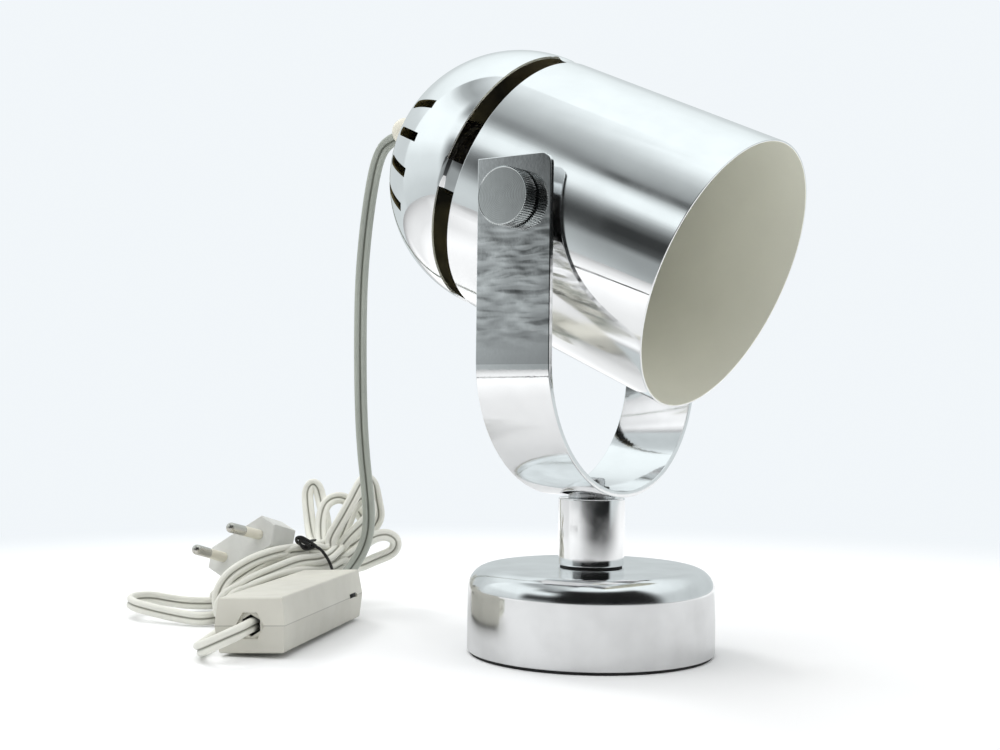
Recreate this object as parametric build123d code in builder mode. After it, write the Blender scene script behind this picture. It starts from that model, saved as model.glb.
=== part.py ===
from build123d import *
import math
import os

# Tabletop searchlight lamp. Millimetres, +Z up. The origin is the centre of the underside of the foot.
# The head aims along -Y and is tilted down about the pivot, whose axis runs along X.

# ---- Driving dimensions --------------------------------------------------------------------------
# Foot
base_diameter = 84.0
base_top = 29.2
base_wall = 1.4
base_shoulder = 7.5
pad_thickness = 1.0
pad_inset = 0.8
weight_height = 17.0
weight_clearance = 0.1

# Stem and swivel
stem_diameter = 22.6
stem_top = 52.6
stem_edge = 0.5
gasket_thickness = 0.5
gasket_inset = 0.7
bolt_diameter = 5.0
bolt_head_diameter = 9.0
bolt_head_height = 3.0
bolt_slot_width = 1.2
bolt_slot_depth = 1.2
nut_across_flats = 8.0
nut_height = 4.0
nut_cover = 1.0
running_gap = 0.05
face_gap = 0.05

# Yoke strap: a flat strap bent to a U, round at the bottom, with room for a friction washer beside the shade
washer_room = 2.05
yoke_width = 27.5
yoke_thickness = 2.0
yoke_bottom = 53.2
yoke_bend_top = 95.0
yoke_top = 162.0
yoke_corner = 3.6
saddle_washer_diameter = 16.0
swivel_washer_diameter = 12.0
swivel_washer_height = 1.0

# Head
pivot_height = 148.5
head_tilt = 24.55
head_diameter = 92.5
head_wall = 0.8
shade_front = 54.7
shade_rear = 26.0
vent_gap = 7.0
dome_collar = 1.0

# Joggled tabs that join the dome to the shade
tab_count = 4
tab_sweep = 12.2
tab_turn = 3.0
tab_clearance = 0.05
tab_reach = 8.0
tab_joggle = 2.4

# Vent slots, in a group on each side of the dome
slot_width = 3.2
slot_front = 50.7
slot_rear = 65.3
slot_pitch = 16.8
slots_in_group = 4

# Thumb screws
knob_diameter = 18.5
knob_thickness = 6.4
knob_ridges = 60
knob_ridge_depth = 0.5
knob_chamfer = 0.9
knob_dish_diameter = 13.0
knob_dish_depth = 0.25
washer_diameter = 15.0
pivot_nut_flats = 9.0
pivot_nut_height = 4.5
screw_end = 1.5

# Nipple, cord grip and lampholder
nipple_diameter = 8.0
nipple_bore = 6.0
nipple_inside = 9.0
nipple_outside = 6.5
nipple_nut_flats = 13.0
nipple_nut_height = 2.5
grip_diameter = 10.4
grip_length = 16.5
grip_flange_diameter = 12.6
grip_flange_height = 2.0
grip_exit_angle = 45.0
grip_exit_cut = 0.9
holder_cap_diameter = 27.0
holder_cap_length = 16.0
holder_shell_diameter = 28.6
holder_shell_length = 25.0
holder_wall = 2.0
holder_collar_height = 4.0
holder_mouth_gap = 0.5
insert_height = 7.0
insert_screw_diameter = 2.5
contact_width = 5.0
contact_thickness = 0.6

# Bulb with a small screw cap
bulb_cap_diameter = 13.9
bulb_cap_length = 19.0
bulb_diameter = 45.0
bulb_length = 78.0
bulb_wall = 0.7
globe_sweep = 138.0

# Twin flex
cord_diameter = 5.0
bend_share = 0.45

# Inline switch, lying on the table with its rocker underneath
switch_length = 88.0
switch_width = 24.3
switch_height = 18.3
switch_draft = 1.1
switch_wall = 1.8
switch_fillet = 1.6
switch_centre = (-39.15, 99.25, 1.01)
switch_yaw = 23.5
switch_roll = -2.5
switch_pitch = 0.6
gland_across = 8.6
notch_width = 2.6
notch_height = 1.4
notch_depth = 1.0
notch_place = 36.0
rocker_length = 13.4
rocker_width = 8.0
rocker_height = 5.0
rocker_angle = 5.0
rocker_clearance = 0.5
rocker_flush = 0.35
rocker_dip = 0.9
rocker_axis_height = 3.0
rocker_pin_diameter = 2.0
rocker_cheek = 1.5
rocker_cheek_length = 5.0
rocker_cheek_height = 3.2
contact_block_length = 30.0
contact_block_width = 15.0
contact_block_height = 8.0
clamp_length = 6.0
clamp_width = 13.0
clamp_place = 34.0
switch_screw_diameter = 3.0
switch_screw_head = 5.4
switch_screw_sink = 0.2
switch_screw_end = 3.6
switch_screw_place = 20.0
boss_diameter = 6.4

# Flat two-pin plug
plug_face = (-9.2, 156.6, 26.0)
plug_pin_direction = (-0.963, -0.105, 0.249)
plug_width_direction = (0.225, -0.823, 0.522)
plug_width = 35.3
plug_shoulder_width = 26.1
plug_thickness = 13.7
plug_block_length = 14.0
plug_step = 1.6
plug_edge = 0.8
plug_neck_width = 14.0
plug_neck_shoulder = 9.8
plug_neck_thickness = 10.0
plug_body_length = 24.0
plug_relief_length = 9.0
plug_relief_diameter = 8.4
plug_tail_diameter = 6.0
pin_diameter = 4.0
pin_length = 19.0
pin_sleeve_length = 10.0
pin_sleeve_wall = 0.2
pin_spacing_base = 18.6
pin_spacing_tip = 17.5
pin_root = 6.0
pin_tip_round = 1.8

# Hank of flex, tied at its waist
hank_waist = (14.0, 134.5, 22.0)
hank_waist_direction = (0.93, 0.06, 0.36)
hank_waist_radius = 8.5
hank_waist_length = 6.0
tie_wire = 1.3
tie_gap = 0.05
tie_tail = 9.0
tie_tail_diameter = 2.1

# Points that the free leads pass between the pieces that they join
lamp_lead_points = [
    (0.0, 91.9, 183.0),
    (0.3, 95.7, 179.0),
    (1.0, 98.7, 172.6),
    (2.1, 101.9, 162.0),
    (3.3, 105.0, 148.0),
    (4.7, 107.7, 131.0),
    (6.9, 109.7, 112.0),
    (9.6, 111.6, 94.5),
    (12.6, 113.4, 78.5),
    (16.0, 114.9, 64.0),
    (19.6, 115.9, 51.0),
    (22.6, 117.0, 40.0),
    (24.2, 118.6, 31.0),
    (23.4, 121.2, 23.2),
    (19.2, 123.4, 16.6),
    (12.4, 123.2, 11.9),
]
tail_lead_points = [
    (-86.0, 79.3, 10.2),
    (-92.6, 80.6, 8.3),
    (-95.3, 86.2, 5.4),
    (-91.8, 93.2, 3.3),
    (-83.5, 99.4, 2.7),
    (-73.0, 106.5, 2.6),
    (-62.0, 113.0, 2.6),
    (-51.5, 118.4, 2.6),
]
plug_lead_points = [
    (29.02, 160.77, 16.12),
    (35.7, 161.5, 15.6),
]

# The hank's outer form. Left of the tie: centre, direction, width and height of the bundle's sections
hank_arch = [
    ((-18.0, 135.0, 20.5), (0.98, -0.05, 0.12), 16.0, 18.0),
    ((-35.0, 138.0, 14.5), (0.88, -0.15, 0.45), 18.0, 16.0),
    ((-43.5, 141.5, 7.5), (0.6, -0.3, 0.74), 19.0, 10.0),
]
hank_floor_gap = 0.2
hank_flat_height = 8.0
hank_flat_corner = 6.0
hank_flat_round = 3.0
hank_flat_outline = [
    (-50.5, 113.0),
    (-32.0, 123.0),
    (-12.0, 129.0),
    (12.0, 130.0),
    (22.0, 143.0),
    (20.0, 160.0),
    (16.0, 175.0),
    (-8.0, 177.0),
    (-23.0, 189.0),
    (-42.0, 186.0),
    (-50.5, 165.0),
]
fan_root = (28.0, 137.0, 29.5)
fan_centre = (33.8, 140.4, 34.7)
fan_normal = (0.83, 0.56, 0.0)
fan_radius = 19.5
fan_thickness = 20.0
fan_foot_height = 23.0
fan_foot_corner = 3.5
fan_foot_outline = [
    (21.5, 131.5),
    (36.0, 141.0),
    (50.0, 150.5),
    (53.0, 158.0),
    (45.0, 167.0),
    (35.5, 166.7),
    (36.5, 156.7),
    (26.0, 148.0),
]
tie_side = (-0.33, 0.05, 0.94)
tie_tail_direction = (-0.7, 0.25, 0.66)

# ---- Derived values ------------------------------------------------------------------------------
base_radius = base_diameter / 2
head_radius = head_diameter / 2
tube_inner_radius = head_radius - head_wall
strap_inner = head_radius + washer_room
strap_outer = strap_inner + yoke_thickness
yoke_span = 2 * strap_outer
dome_edge = shade_rear + vent_gap
dome_centre = dome_edge + dome_collar
dome_pole = dome_centre + head_radius
tilt = math.radians(head_tilt)

pivot = Vector(0, 0, pivot_height)
aim = Vector(0, -math.cos(tilt), -math.sin(tilt))
side = Vector(1, 0, 0)
crown = aim.cross(side)
head_axis = Axis(pivot, aim)
# In this plane X is the distance from the head's axis, and Y runs along the axis, with the pivot at zero.
head_section = Plane(origin=pivot, x_dir=side, z_dir=side.cross(aim))


def head_point(along, across=0.0, up=0.0):
    """A point of the head: along its axis towards the rim, across it, and towards the crown."""
    return pivot + aim * along + side * across + crown * up


def radial_direction(angle):
    """The direction away from the head's axis at this angle, from +X towards the crown."""
    turn = math.radians(angle)
    return side * math.cos(turn) + crown * math.sin(turn)


def head_meridian(angle):
    """The plane through the head's axis at this angle: X leads away from the axis, Y along it."""
    radial = radial_direction(angle)
    return Plane(origin=pivot, x_dir=radial, z_dir=radial.cross(aim))


def head_tangent(angle):
    """The plane through the pivot that faces outwards at this angle: X runs along the axis."""
    return Plane(origin=pivot, x_dir=aim, z_dir=radial_direction(angle))


os.makedirs("parts", exist_ok=True)
finished = []


def finish_piece(builder, name):
    """Labels a finished piece and writes it to its own file."""
    builder.part.label = name
    export_step(builder.part, f"parts/{name}.step")
    finished.append(name)


# ---- Foot ----------------------------------------------------------------------------------------
with BuildPart() as base_cover:
    # A drawn cup, open below, with a rounded shoulder
    with BuildSketch(Plane.XZ):
        with BuildLine():
            Polyline(
                (bolt_diameter / 2 + running_gap, base_top),
                (base_radius, base_top),
                (base_radius, pad_thickness),
                (base_radius - base_wall, pad_thickness),
                (base_radius - base_wall, base_top - base_wall),
                (bolt_diameter / 2 + running_gap, base_top - base_wall),
                close=True,
            )
        make_face()
    revolve(axis=Axis.Z)
    rims = base_cover.edges().filter_by(GeomType.CIRCLE)
    fillet(rims.sort_by(lambda e: e.radius + e.arc_center.Z)[-1], base_shoulder)
    # Inside, the highest of the wide rims is the corner under the shoulder
    inner_rims = base_cover.edges().filter_by(GeomType.CIRCLE).filter_by(lambda e: e.radius > stem_diameter)
    inner_corner = inner_rims.filter_by(lambda e: abs(e.arc_center.Z - base_top + base_wall) < face_gap)
    fillet(inner_corner, base_shoulder - base_wall)
finish_piece(base_cover, "base_cover")

with BuildPart() as base_pad:
    with BuildSketch():
        Circle(base_radius - pad_inset)
    extrude(amount=pad_thickness)
    chamfer(base_pad.edges().group_by(Axis.Z)[0], pad_thickness / 4)
finish_piece(base_pad, "base_pad")

nut_floor = pad_thickness + nut_cover
with BuildPart() as base_weight:
    # A turned disc with the swivel bolt's hole and a pocket for its nut
    with BuildSketch(Plane.XY.offset(pad_thickness)):
        Circle(base_radius - base_wall - weight_clearance)
        Circle(bolt_diameter / 2 + running_gap, mode=Mode.SUBTRACT)
    extrude(amount=weight_height)
    with BuildSketch(Plane.XY.offset(pad_thickness)):
        RegularPolygon(nut_across_flats / 2 + weight_clearance, 6, major_radius=False)
    extrude(amount=nut_cover + nut_height, mode=Mode.SUBTRACT)
    # A hub carries the load from the cover's top to the disc
    with BuildSketch(Plane.XY.offset(pad_thickness + weight_height)):
        Circle(stem_diameter / 2)
        Circle(bolt_diameter / 2 + running_gap, mode=Mode.SUBTRACT)
    extrude(amount=base_top - base_wall - pad_thickness - weight_height)
finish_piece(base_weight, "base_weight")

with BuildPart() as stem_gasket:
    with BuildSketch(Plane.XY.offset(base_top)):
        Circle(stem_diameter / 2 - gasket_inset)
        Circle(bolt_diameter / 2 + running_gap, mode=Mode.SUBTRACT)
    extrude(amount=gasket_thickness)
finish_piece(stem_gasket, "stem_gasket")

with BuildPart() as stem:
    with BuildSketch(Plane.XY.offset(base_top + gasket_thickness)):
        Circle(stem_diameter / 2)
        Circle(bolt_diameter / 2 + running_gap, mode=Mode.SUBTRACT)
    extrude(amount=stem_top - base_top - gasket_thickness)
    outer_rims = [e for e in stem.edges().filter_by(GeomType.CIRCLE) if e.radius > bolt_diameter]
    chamfer(outer_rims, stem_edge)
finish_piece(stem, "stem")

# The strap's bottom is half an ellipse, so its height over the middle depends on the distance from the middle
bend_height = yoke_bend_top - yoke_bottom
strap_floor = yoke_bottom + yoke_thickness
washer_top = strap_floor + swivel_washer_height
bolt_head_bottom = washer_top + face_gap

with BuildPart() as swivel_bolt:
    with BuildSketch(Plane.XY.offset(nut_floor)):
        Circle(bolt_diameter / 2)
    extrude(amount=bolt_head_bottom - nut_floor)
    with BuildSketch(Plane.XY.offset(bolt_head_bottom)):
        Circle(bolt_head_diameter / 2)
    extrude(amount=bolt_head_height)
    fillet(swivel_bolt.edges().group_by(Axis.Z)[-1], bolt_head_height / 3)
    with BuildSketch(Plane.XY.offset(bolt_head_bottom + bolt_head_height)):
        Rectangle(bolt_head_diameter * 2, bolt_slot_width)
    extrude(amount=-bolt_slot_depth, mode=Mode.SUBTRACT)
finish_piece(swivel_bolt, "swivel_bolt")

with BuildPart() as swivel_nut:
    with BuildSketch(Plane.XY.offset(nut_floor)):
        RegularPolygon(nut_across_flats / 2, 6, major_radius=False)
        Circle(bolt_diameter / 2, mode=Mode.SUBTRACT)
    extrude(amount=nut_height)
finish_piece(swivel_nut, "swivel_nut")

# ---- Yoke ----------------------------------------------------------------------------------------
with BuildPart() as yoke_bracket:
    with BuildSketch(Plane.XZ):
        # The strap seen along Y: outer outline, less the same outline one thickness in
        with Locations((0, yoke_bend_top)):
            Ellipse(strap_outer, bend_height)
            Ellipse(strap_inner, bend_height - yoke_thickness, mode=Mode.SUBTRACT)
        with Locations((0, yoke_bend_top)):
            Rectangle(
                yoke_span + yoke_thickness,
                bend_height + yoke_thickness,
                align=(Align.CENTER, Align.MIN),
                mode=Mode.SUBTRACT,
            )
        for sign in (-1, 1):
            with Locations((sign * (strap_outer + strap_inner) / 2, yoke_bend_top)):
                Rectangle(yoke_thickness, yoke_top - yoke_bend_top, align=(Align.CENTER, Align.MIN))
    extrude(amount=yoke_width / 2, both=True)
    # The arms' front corners are rounded off
    arm_tops = yoke_bracket.edges().filter_by(Axis.X).group_by(Axis.Z)[-1].sort_by(Axis.Y)
    fillet(arm_tops[:2], yoke_corner)
    with Locations(Plane(origin=pivot, z_dir=side)):
        Cylinder(bolt_diameter / 2 + running_gap, yoke_span + yoke_thickness, mode=Mode.SUBTRACT)
    with Locations((0, 0, yoke_bottom)):
        Cylinder(bolt_diameter / 2 + running_gap, 4 * yoke_thickness, mode=Mode.SUBTRACT)
finish_piece(yoke_bracket, "yoke_bracket")

with BuildPart() as saddle_washer:
    # Fills the space between the stem's flat top and the strap's round bottom
    with BuildSketch(Plane.XY.offset(stem_top + face_gap)):
        Circle(saddle_washer_diameter / 2)
        Circle(bolt_diameter / 2 + running_gap, mode=Mode.SUBTRACT)
    extrude(amount=yoke_thickness)
    with BuildSketch(Plane.XZ):
        with Locations((0, yoke_bend_top)):
            Ellipse(strap_outer, bend_height)
    extrude(amount=saddle_washer_diameter, both=True, mode=Mode.SUBTRACT)
finish_piece(saddle_washer, "saddle_washer")

with BuildPart() as swivel_washer:
    # Sits in the strap's round bottom and gives the bolt's head a flat seat
    with BuildSketch(Plane.XY.offset(yoke_bottom)):
        Circle(swivel_washer_diameter / 2)
        Circle(bolt_diameter / 2 + running_gap, mode=Mode.SUBTRACT)
    extrude(amount=washer_top - yoke_bottom)
    with BuildSketch(Plane.XZ):
        with Locations((0, yoke_bend_top)):
            Ellipse(strap_inner, bend_height - yoke_thickness)
    extrude(amount=swivel_washer_diameter, both=True, mode=Mode.INTERSECT)
finish_piece(swivel_washer, "swivel_washer")

# ---- Head ----------------------------------------------------------------------------------------
with BuildPart() as shade_tube:
    with BuildSketch(head_section):
        with Locations((tube_inner_radius, -shade_rear)):
            Rectangle(head_wall, shade_rear + shade_front, align=(Align.MIN, Align.MIN))
    revolve(axis=head_axis)
    with Locations(Plane(origin=pivot, z_dir=side)):
        Cylinder(bolt_diameter / 2 + running_gap, head_diameter + yoke_thickness, mode=Mode.SUBTRACT)
finish_piece(shade_tube, "shade_tube")

with BuildPart() as rear_dome:
    # A collar and a hemisphere, with a hole at the pole for the nipple
    pole_hole = nipple_diameter / 2 + running_gap
    inner_pole_angle = math.degrees(math.asin(pole_hole / tube_inner_radius))
    outer_pole_angle = math.degrees(math.asin(pole_hole / head_radius))
    with BuildSketch(head_section):
        with BuildLine():
            outer = CenterArc((0, -dome_centre), head_radius, 0, outer_pole_angle - 90)
            inner = CenterArc((0, -dome_centre), tube_inner_radius, 0, inner_pole_angle - 90)
            Line(outer @ 1, inner @ 1)
            Polyline(outer @ 0, (head_radius, -dome_edge), (tube_inner_radius, -dome_edge), inner @ 0)
        make_face()
    revolve(axis=head_axis)
    # Tabs step in by a wall at the collar, bridge the vent gap and slide in under the shade's edge
    tab_radius = tube_inner_radius - tab_clearance
    for number in range(tab_count):
        start = tab_turn + number * 360 / tab_count - tab_sweep / 2
        with BuildSketch(head_meridian(start)):
            with BuildLine():
                Polyline(
                    (head_radius, -dome_centre),
                    (head_radius, -dome_edge),
                    (tab_radius, -dome_edge + tab_joggle),
                    (tab_radius, -shade_rear + tab_reach),
                    (tab_radius - head_wall, -shade_rear + tab_reach),
                    (tab_radius - head_wall, -dome_edge + tab_joggle - head_wall / 2),
                    (tube_inner_radius, -dome_edge - head_wall / 2),
                    (tube_inner_radius, -dome_centre),
                    close=True,
                )
            make_face()
        revolve(axis=head_axis, revolution_arc=tab_sweep)
    # Vent slots: square in front, round behind, in a group on each side, centred on the side tabs
    for group in (0, 180):
        for number in range(slots_in_group):
            angle = group + tab_turn + (number - (slots_in_group - 1) / 2) * slot_pitch
            with BuildSketch(head_tangent(angle)):
                with Locations((-slot_front, 0)):
                    Rectangle(
                        slot_rear - slot_front - slot_width / 2, slot_width, align=(Align.MAX, Align.CENTER)
                    )
                with Locations((-slot_rear + slot_width / 2, 0)):
                    Circle(slot_width / 2)
            extrude(amount=head_radius, mode=Mode.SUBTRACT)
finish_piece(rear_dome, "rear_dome")

with BuildPart() as pivot_nuts:
    # A welded nut inside the shade on each side, cut to the shade's round
    for sign in (-1, 1):
        nut_seat = pivot + side * sign * (tube_inner_radius - pivot_nut_height)
        with BuildSketch(Plane(origin=nut_seat, x_dir=aim, z_dir=side * sign)):
            RegularPolygon(pivot_nut_flats / 2, 6, major_radius=False)
            Circle(bolt_diameter / 2 + running_gap, mode=Mode.SUBTRACT)
        extrude(amount=pivot_nut_height)
    with BuildSketch(head_section):
        with Locations((0, -shade_rear)):
            Rectangle(tube_inner_radius, shade_rear + shade_front, align=(Align.MIN, Align.MIN))
    revolve(axis=head_axis, mode=Mode.INTERSECT)
finish_piece(pivot_nuts, "pivot_nuts")

with BuildPart() as friction_washers:
    # Fibre washers between the shade's round side and the yoke's flat arms
    for sign in (-1, 1):
        with BuildSketch(Plane(origin=pivot + side * sign * tube_inner_radius, x_dir=aim, z_dir=side * sign)):
            Circle(washer_diameter / 2)
            Circle(bolt_diameter / 2 + running_gap, mode=Mode.SUBTRACT)
        extrude(amount=strap_inner - face_gap - tube_inner_radius)
    with BuildSketch(head_section):
        with Locations((0, -shade_rear)):
            Rectangle(head_radius, shade_rear + shade_front, align=(Align.MIN, Align.MIN))
    revolve(axis=head_axis, mode=Mode.SUBTRACT)
finish_piece(friction_washers, "friction_washers")


def knurled_outline():
    """The knob's outline: one ridge and one groove after another round the rim."""
    points = []
    for step in range(2 * knob_ridges):
        radius = knob_diameter / 2 - (step % 2) * knob_ridge_depth
        turn = math.pi * step / knob_ridges
        points.append((radius * math.cos(turn), radius * math.sin(turn)))
    return points


def thumb_screw(sign):
    """A knurled thumb screw on one side: sign is -1 for the -X side and 1 for the +X side."""
    seat = strap_outer + face_gap
    tip = tube_inner_radius - pivot_nut_height - screw_end
    outward = side * sign
    with BuildPart() as screw:
        with BuildSketch(Plane(origin=pivot + outward * seat, x_dir=(0, 1, 0), z_dir=outward)):
            with BuildLine():
                Polyline(*knurled_outline(), close=True)
            make_face()
        extrude(amount=knob_thickness)
        # Both rims are turned to a chamfer and the face is lightly dished
        section = Plane(origin=pivot + outward * seat, x_dir=(0, 1, 0), z_dir=Vector(0, 1, 0).cross(outward))
        with BuildSketch(section):
            with BuildLine():
                Polyline(
                    (0, 0),
                    (knob_diameter / 2 - knob_chamfer, 0),
                    (knob_diameter / 2, knob_chamfer),
                    (knob_diameter / 2, knob_thickness - knob_chamfer),
                    (knob_diameter / 2 - knob_chamfer, knob_thickness),
                    (knob_dish_diameter / 2, knob_thickness),
                    (0, knob_thickness - knob_dish_depth),
                    close=True,
                )
            make_face()
        revolve(axis=Axis(pivot, outward), mode=Mode.INTERSECT)
        with BuildSketch(Plane(origin=pivot + outward * tip, x_dir=(0, 1, 0), z_dir=outward)):
            Circle(bolt_diameter / 2)
        extrude(amount=seat - tip)
    return screw


thumb_screw_left = thumb_screw(-1)
finish_piece(thumb_screw_left, "thumb_screw_left")
thumb_screw_right = thumb_screw(1)
finish_piece(thumb_screw_right, "thumb_screw_right")

# ---- Nipple, cord grip and lampholder ------------------------------------------------------------
dome_inside = dome_centre + tube_inner_radius
grip_seat = dome_centre + math.sqrt(head_radius**2 - (grip_flange_diameter / 2) ** 2)
with BuildPart() as nipple:
    with BuildSketch(head_section):
        with Locations((nipple_bore / 2, -dome_pole - nipple_outside)):
            Rectangle(
                (nipple_diameter - nipple_bore) / 2,
                nipple_outside + head_wall + nipple_inside,
                align=(Align.MIN, Align.MIN),
            )
    revolve(axis=head_axis)
finish_piece(nipple, "nipple")

holder_rear = dome_inside - nipple_nut_height - head_wall
with BuildPart() as nipple_nut:
    nut_plane = Plane(origin=head_point(-holder_rear), x_dir=side, z_dir=aim * -1)
    with BuildSketch(nut_plane):
        RegularPolygon(nipple_nut_flats / 2, 6, major_radius=False)
        Circle(nipple_diameter / 2, mode=Mode.SUBTRACT)
    extrude(amount=nipple_nut_height)
finish_piece(nipple_nut, "nipple_nut")

grip_end = grip_seat + grip_length
grip_ball = grip_end - grip_diameter / 2
with BuildPart() as cord_grip:
    # A flange on the dome, a round body, and a round end with the flex's outlet low in it
    with BuildSketch(head_section):
        with BuildLine():
            end_arc = CenterArc((0, -grip_ball), grip_diameter / 2, 0, -90)
            Polyline(
                end_arc @ 0,
                (grip_diameter / 2, -grip_seat - grip_flange_height),
                (grip_flange_diameter / 2, -grip_seat - grip_flange_height),
                (grip_flange_diameter / 2, -dome_centre),
                (0, -dome_centre),
                end_arc @ 1,
            )
        make_face()
    revolve(axis=head_axis)
    with Locations(Plane(origin=head_point(-dome_centre), z_dir=aim)):
        Sphere(head_radius, mode=Mode.SUBTRACT)
    with BuildSketch(head_section):
        with Locations((0, -dome_pole - nipple_outside)):
            Rectangle(nipple_diameter / 2, nipple_outside * 2, align=(Align.MIN, Align.MIN))
    revolve(axis=head_axis, mode=Mode.SUBTRACT)
    exit_turn = math.radians(grip_exit_angle)
    exit_direction = aim * -math.cos(exit_turn) - crown * math.sin(exit_turn)
    grip_outlet = head_point(-grip_ball) + exit_direction * (grip_diameter / 2 - grip_exit_cut)
    with BuildSketch(Plane(origin=grip_outlet, z_dir=exit_direction)):
        Rectangle(grip_diameter * 2, grip_diameter * 2)
    extrude(amount=grip_diameter, mode=Mode.SUBTRACT)
finish_piece(cord_grip, "cord_grip")

holder_cap_front = holder_rear - holder_cap_length
with BuildPart() as lampholder_cap:
    with BuildSketch(head_section):
        with BuildLine():
            Polyline(
                (nipple_diameter / 2, -holder_rear),
                (holder_cap_diameter / 2 - holder_wall, -holder_rear),
                (holder_cap_diameter / 2, -holder_rear + holder_wall),
                (holder_cap_diameter / 2, -holder_cap_front),
                (holder_cap_diameter / 2 - holder_wall, -holder_cap_front),
                (holder_cap_diameter / 2 - holder_wall, -holder_rear + holder_wall),
                (nipple_diameter / 2, -holder_rear + holder_wall),
                close=True,
            )
        make_face()
    revolve(axis=head_axis)
finish_piece(lampholder_cap, "lampholder_cap")

insert_rear = holder_cap_front
insert_front = insert_rear - insert_height
holder_shell_front = holder_cap_front - holder_shell_length
# The shell's mouth leaves room for the bulb's cap and the side tongue beside it
holder_mouth = bulb_cap_diameter / 2 + contact_thickness + holder_mouth_gap
with BuildPart() as lampholder_shell:
    with BuildSketch(head_section):
        with BuildLine():
            Polyline(
                (holder_cap_diameter / 2 - holder_wall, -insert_rear),
                (holder_shell_diameter / 2, -insert_rear),
                (holder_shell_diameter / 2, -insert_rear + holder_collar_height),
                (holder_cap_diameter / 2, -insert_rear + holder_collar_height + holder_wall / 2),
                (holder_cap_diameter / 2, -holder_shell_front - holder_collar_height),
                (holder_shell_diameter / 2, -holder_shell_front - holder_collar_height + holder_wall / 2),
                (holder_shell_diameter / 2, -holder_shell_front),
                (holder_mouth, -holder_shell_front),
                (holder_mouth, -insert_front),
                (holder_cap_diameter / 2 - holder_wall, -insert_front),
                close=True,
            )
        make_face()
    revolve(axis=head_axis)
finish_piece(lampholder_shell, "lampholder_shell")

with BuildPart() as holder_insert:
    with BuildSketch(Plane(origin=head_point(-insert_rear), x_dir=side, z_dir=aim)):
        Circle(holder_cap_diameter / 2 - holder_wall)
        with GridLocations(holder_cap_diameter / 2, 0, 2, 1):
            Circle(insert_screw_diameter / 2, mode=Mode.SUBTRACT)
    extrude(amount=insert_height)
finish_piece(holder_insert, "holder_insert")

with BuildPart() as holder_contacts:
    # A bent centre spring and a side tongue stand on the insert
    with BuildSketch(Plane(origin=head_point(-insert_front), x_dir=side, z_dir=aim)):
        Rectangle(contact_width, contact_width)
    extrude(amount=contact_thickness)
    tongue_place = (bulb_cap_diameter + contact_thickness) / 2
    with BuildSketch(Plane(origin=head_point(-insert_front, up=-tongue_place), x_dir=side, z_dir=aim)):
        Rectangle(contact_width / 2, contact_thickness)
    extrude(amount=contact_width)
finish_piece(holder_contacts, "holder_contacts")

bulb_rear = insert_front - contact_thickness
bulb_front = bulb_rear - bulb_length
bulb_centre = bulb_front + bulb_diameter / 2
cap_front = bulb_rear - bulb_cap_length
with BuildPart() as bulb_cap:
    with BuildSketch(head_section):
        with BuildLine():
            Polyline(
                (0, -bulb_rear),
                (bulb_cap_diameter / 5, -bulb_rear),
                (bulb_cap_diameter / 2, -bulb_rear + bulb_cap_diameter / 4),
                (bulb_cap_diameter / 2, -cap_front),
                (0, -cap_front),
                close=True,
            )
        make_face()
    revolve(axis=head_axis)
finish_piece(bulb_cap, "bulb_cap")

with BuildPart() as bulb_glass:
    # A round globe that narrows to the cap, blown thin
    with BuildSketch(head_section):
        with BuildLine():
            globe = CenterArc((0, -bulb_centre), bulb_diameter / 2, 90, -globe_sweep)
            neck_start = (bulb_cap_diameter / 2 - bulb_wall / 2, -cap_front)
            neck = Spline(globe @ 1, neck_start, tangents=(globe % 1, (0, -1)))
            Line(neck @ 1, (0, -cap_front))
            Line((0, -cap_front), globe @ 0)
        make_face()
        with BuildLine():
            hollow = CenterArc((0, -bulb_centre), bulb_diameter / 2 - bulb_wall, 90, -globe_sweep)
            throat_start = (bulb_cap_diameter / 2 - bulb_wall * 1.5, -cap_front + bulb_wall)
            throat = Spline(hollow @ 1, throat_start, tangents=(hollow % 1, (0, -1)))
            Line(throat @ 1, (0, -cap_front + bulb_wall))
            Line((0, -cap_front + bulb_wall), hollow @ 0)
        make_face(mode=Mode.SUBTRACT)
    revolve(axis=head_axis)
finish_piece(bulb_glass, "bulb_glass")

# ---- Inline switch -------------------------------------------------------------------------------
switch_turn = Location((0, 0, 0), (0, 0, switch_yaw)) * Location((0, 0, 0), (switch_roll, switch_pitch, 0))
switch_place = Location(switch_centre) * switch_turn
# In this plane X runs along the box to the lamp's end, and Z up from its rocker side.
switch_plane = Plane(switch_place)
parting = switch_height / 2
pin_half_length = rocker_width / 2 + rocker_clearance + rocker_cheek


rocker_pin_plane = Plane(
    origin=switch_plane.from_local_coords(Vector(0, 0, rocker_axis_height)),
    x_dir=switch_plane.x_dir,
    z_dir=switch_plane.y_dir,
)


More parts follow.
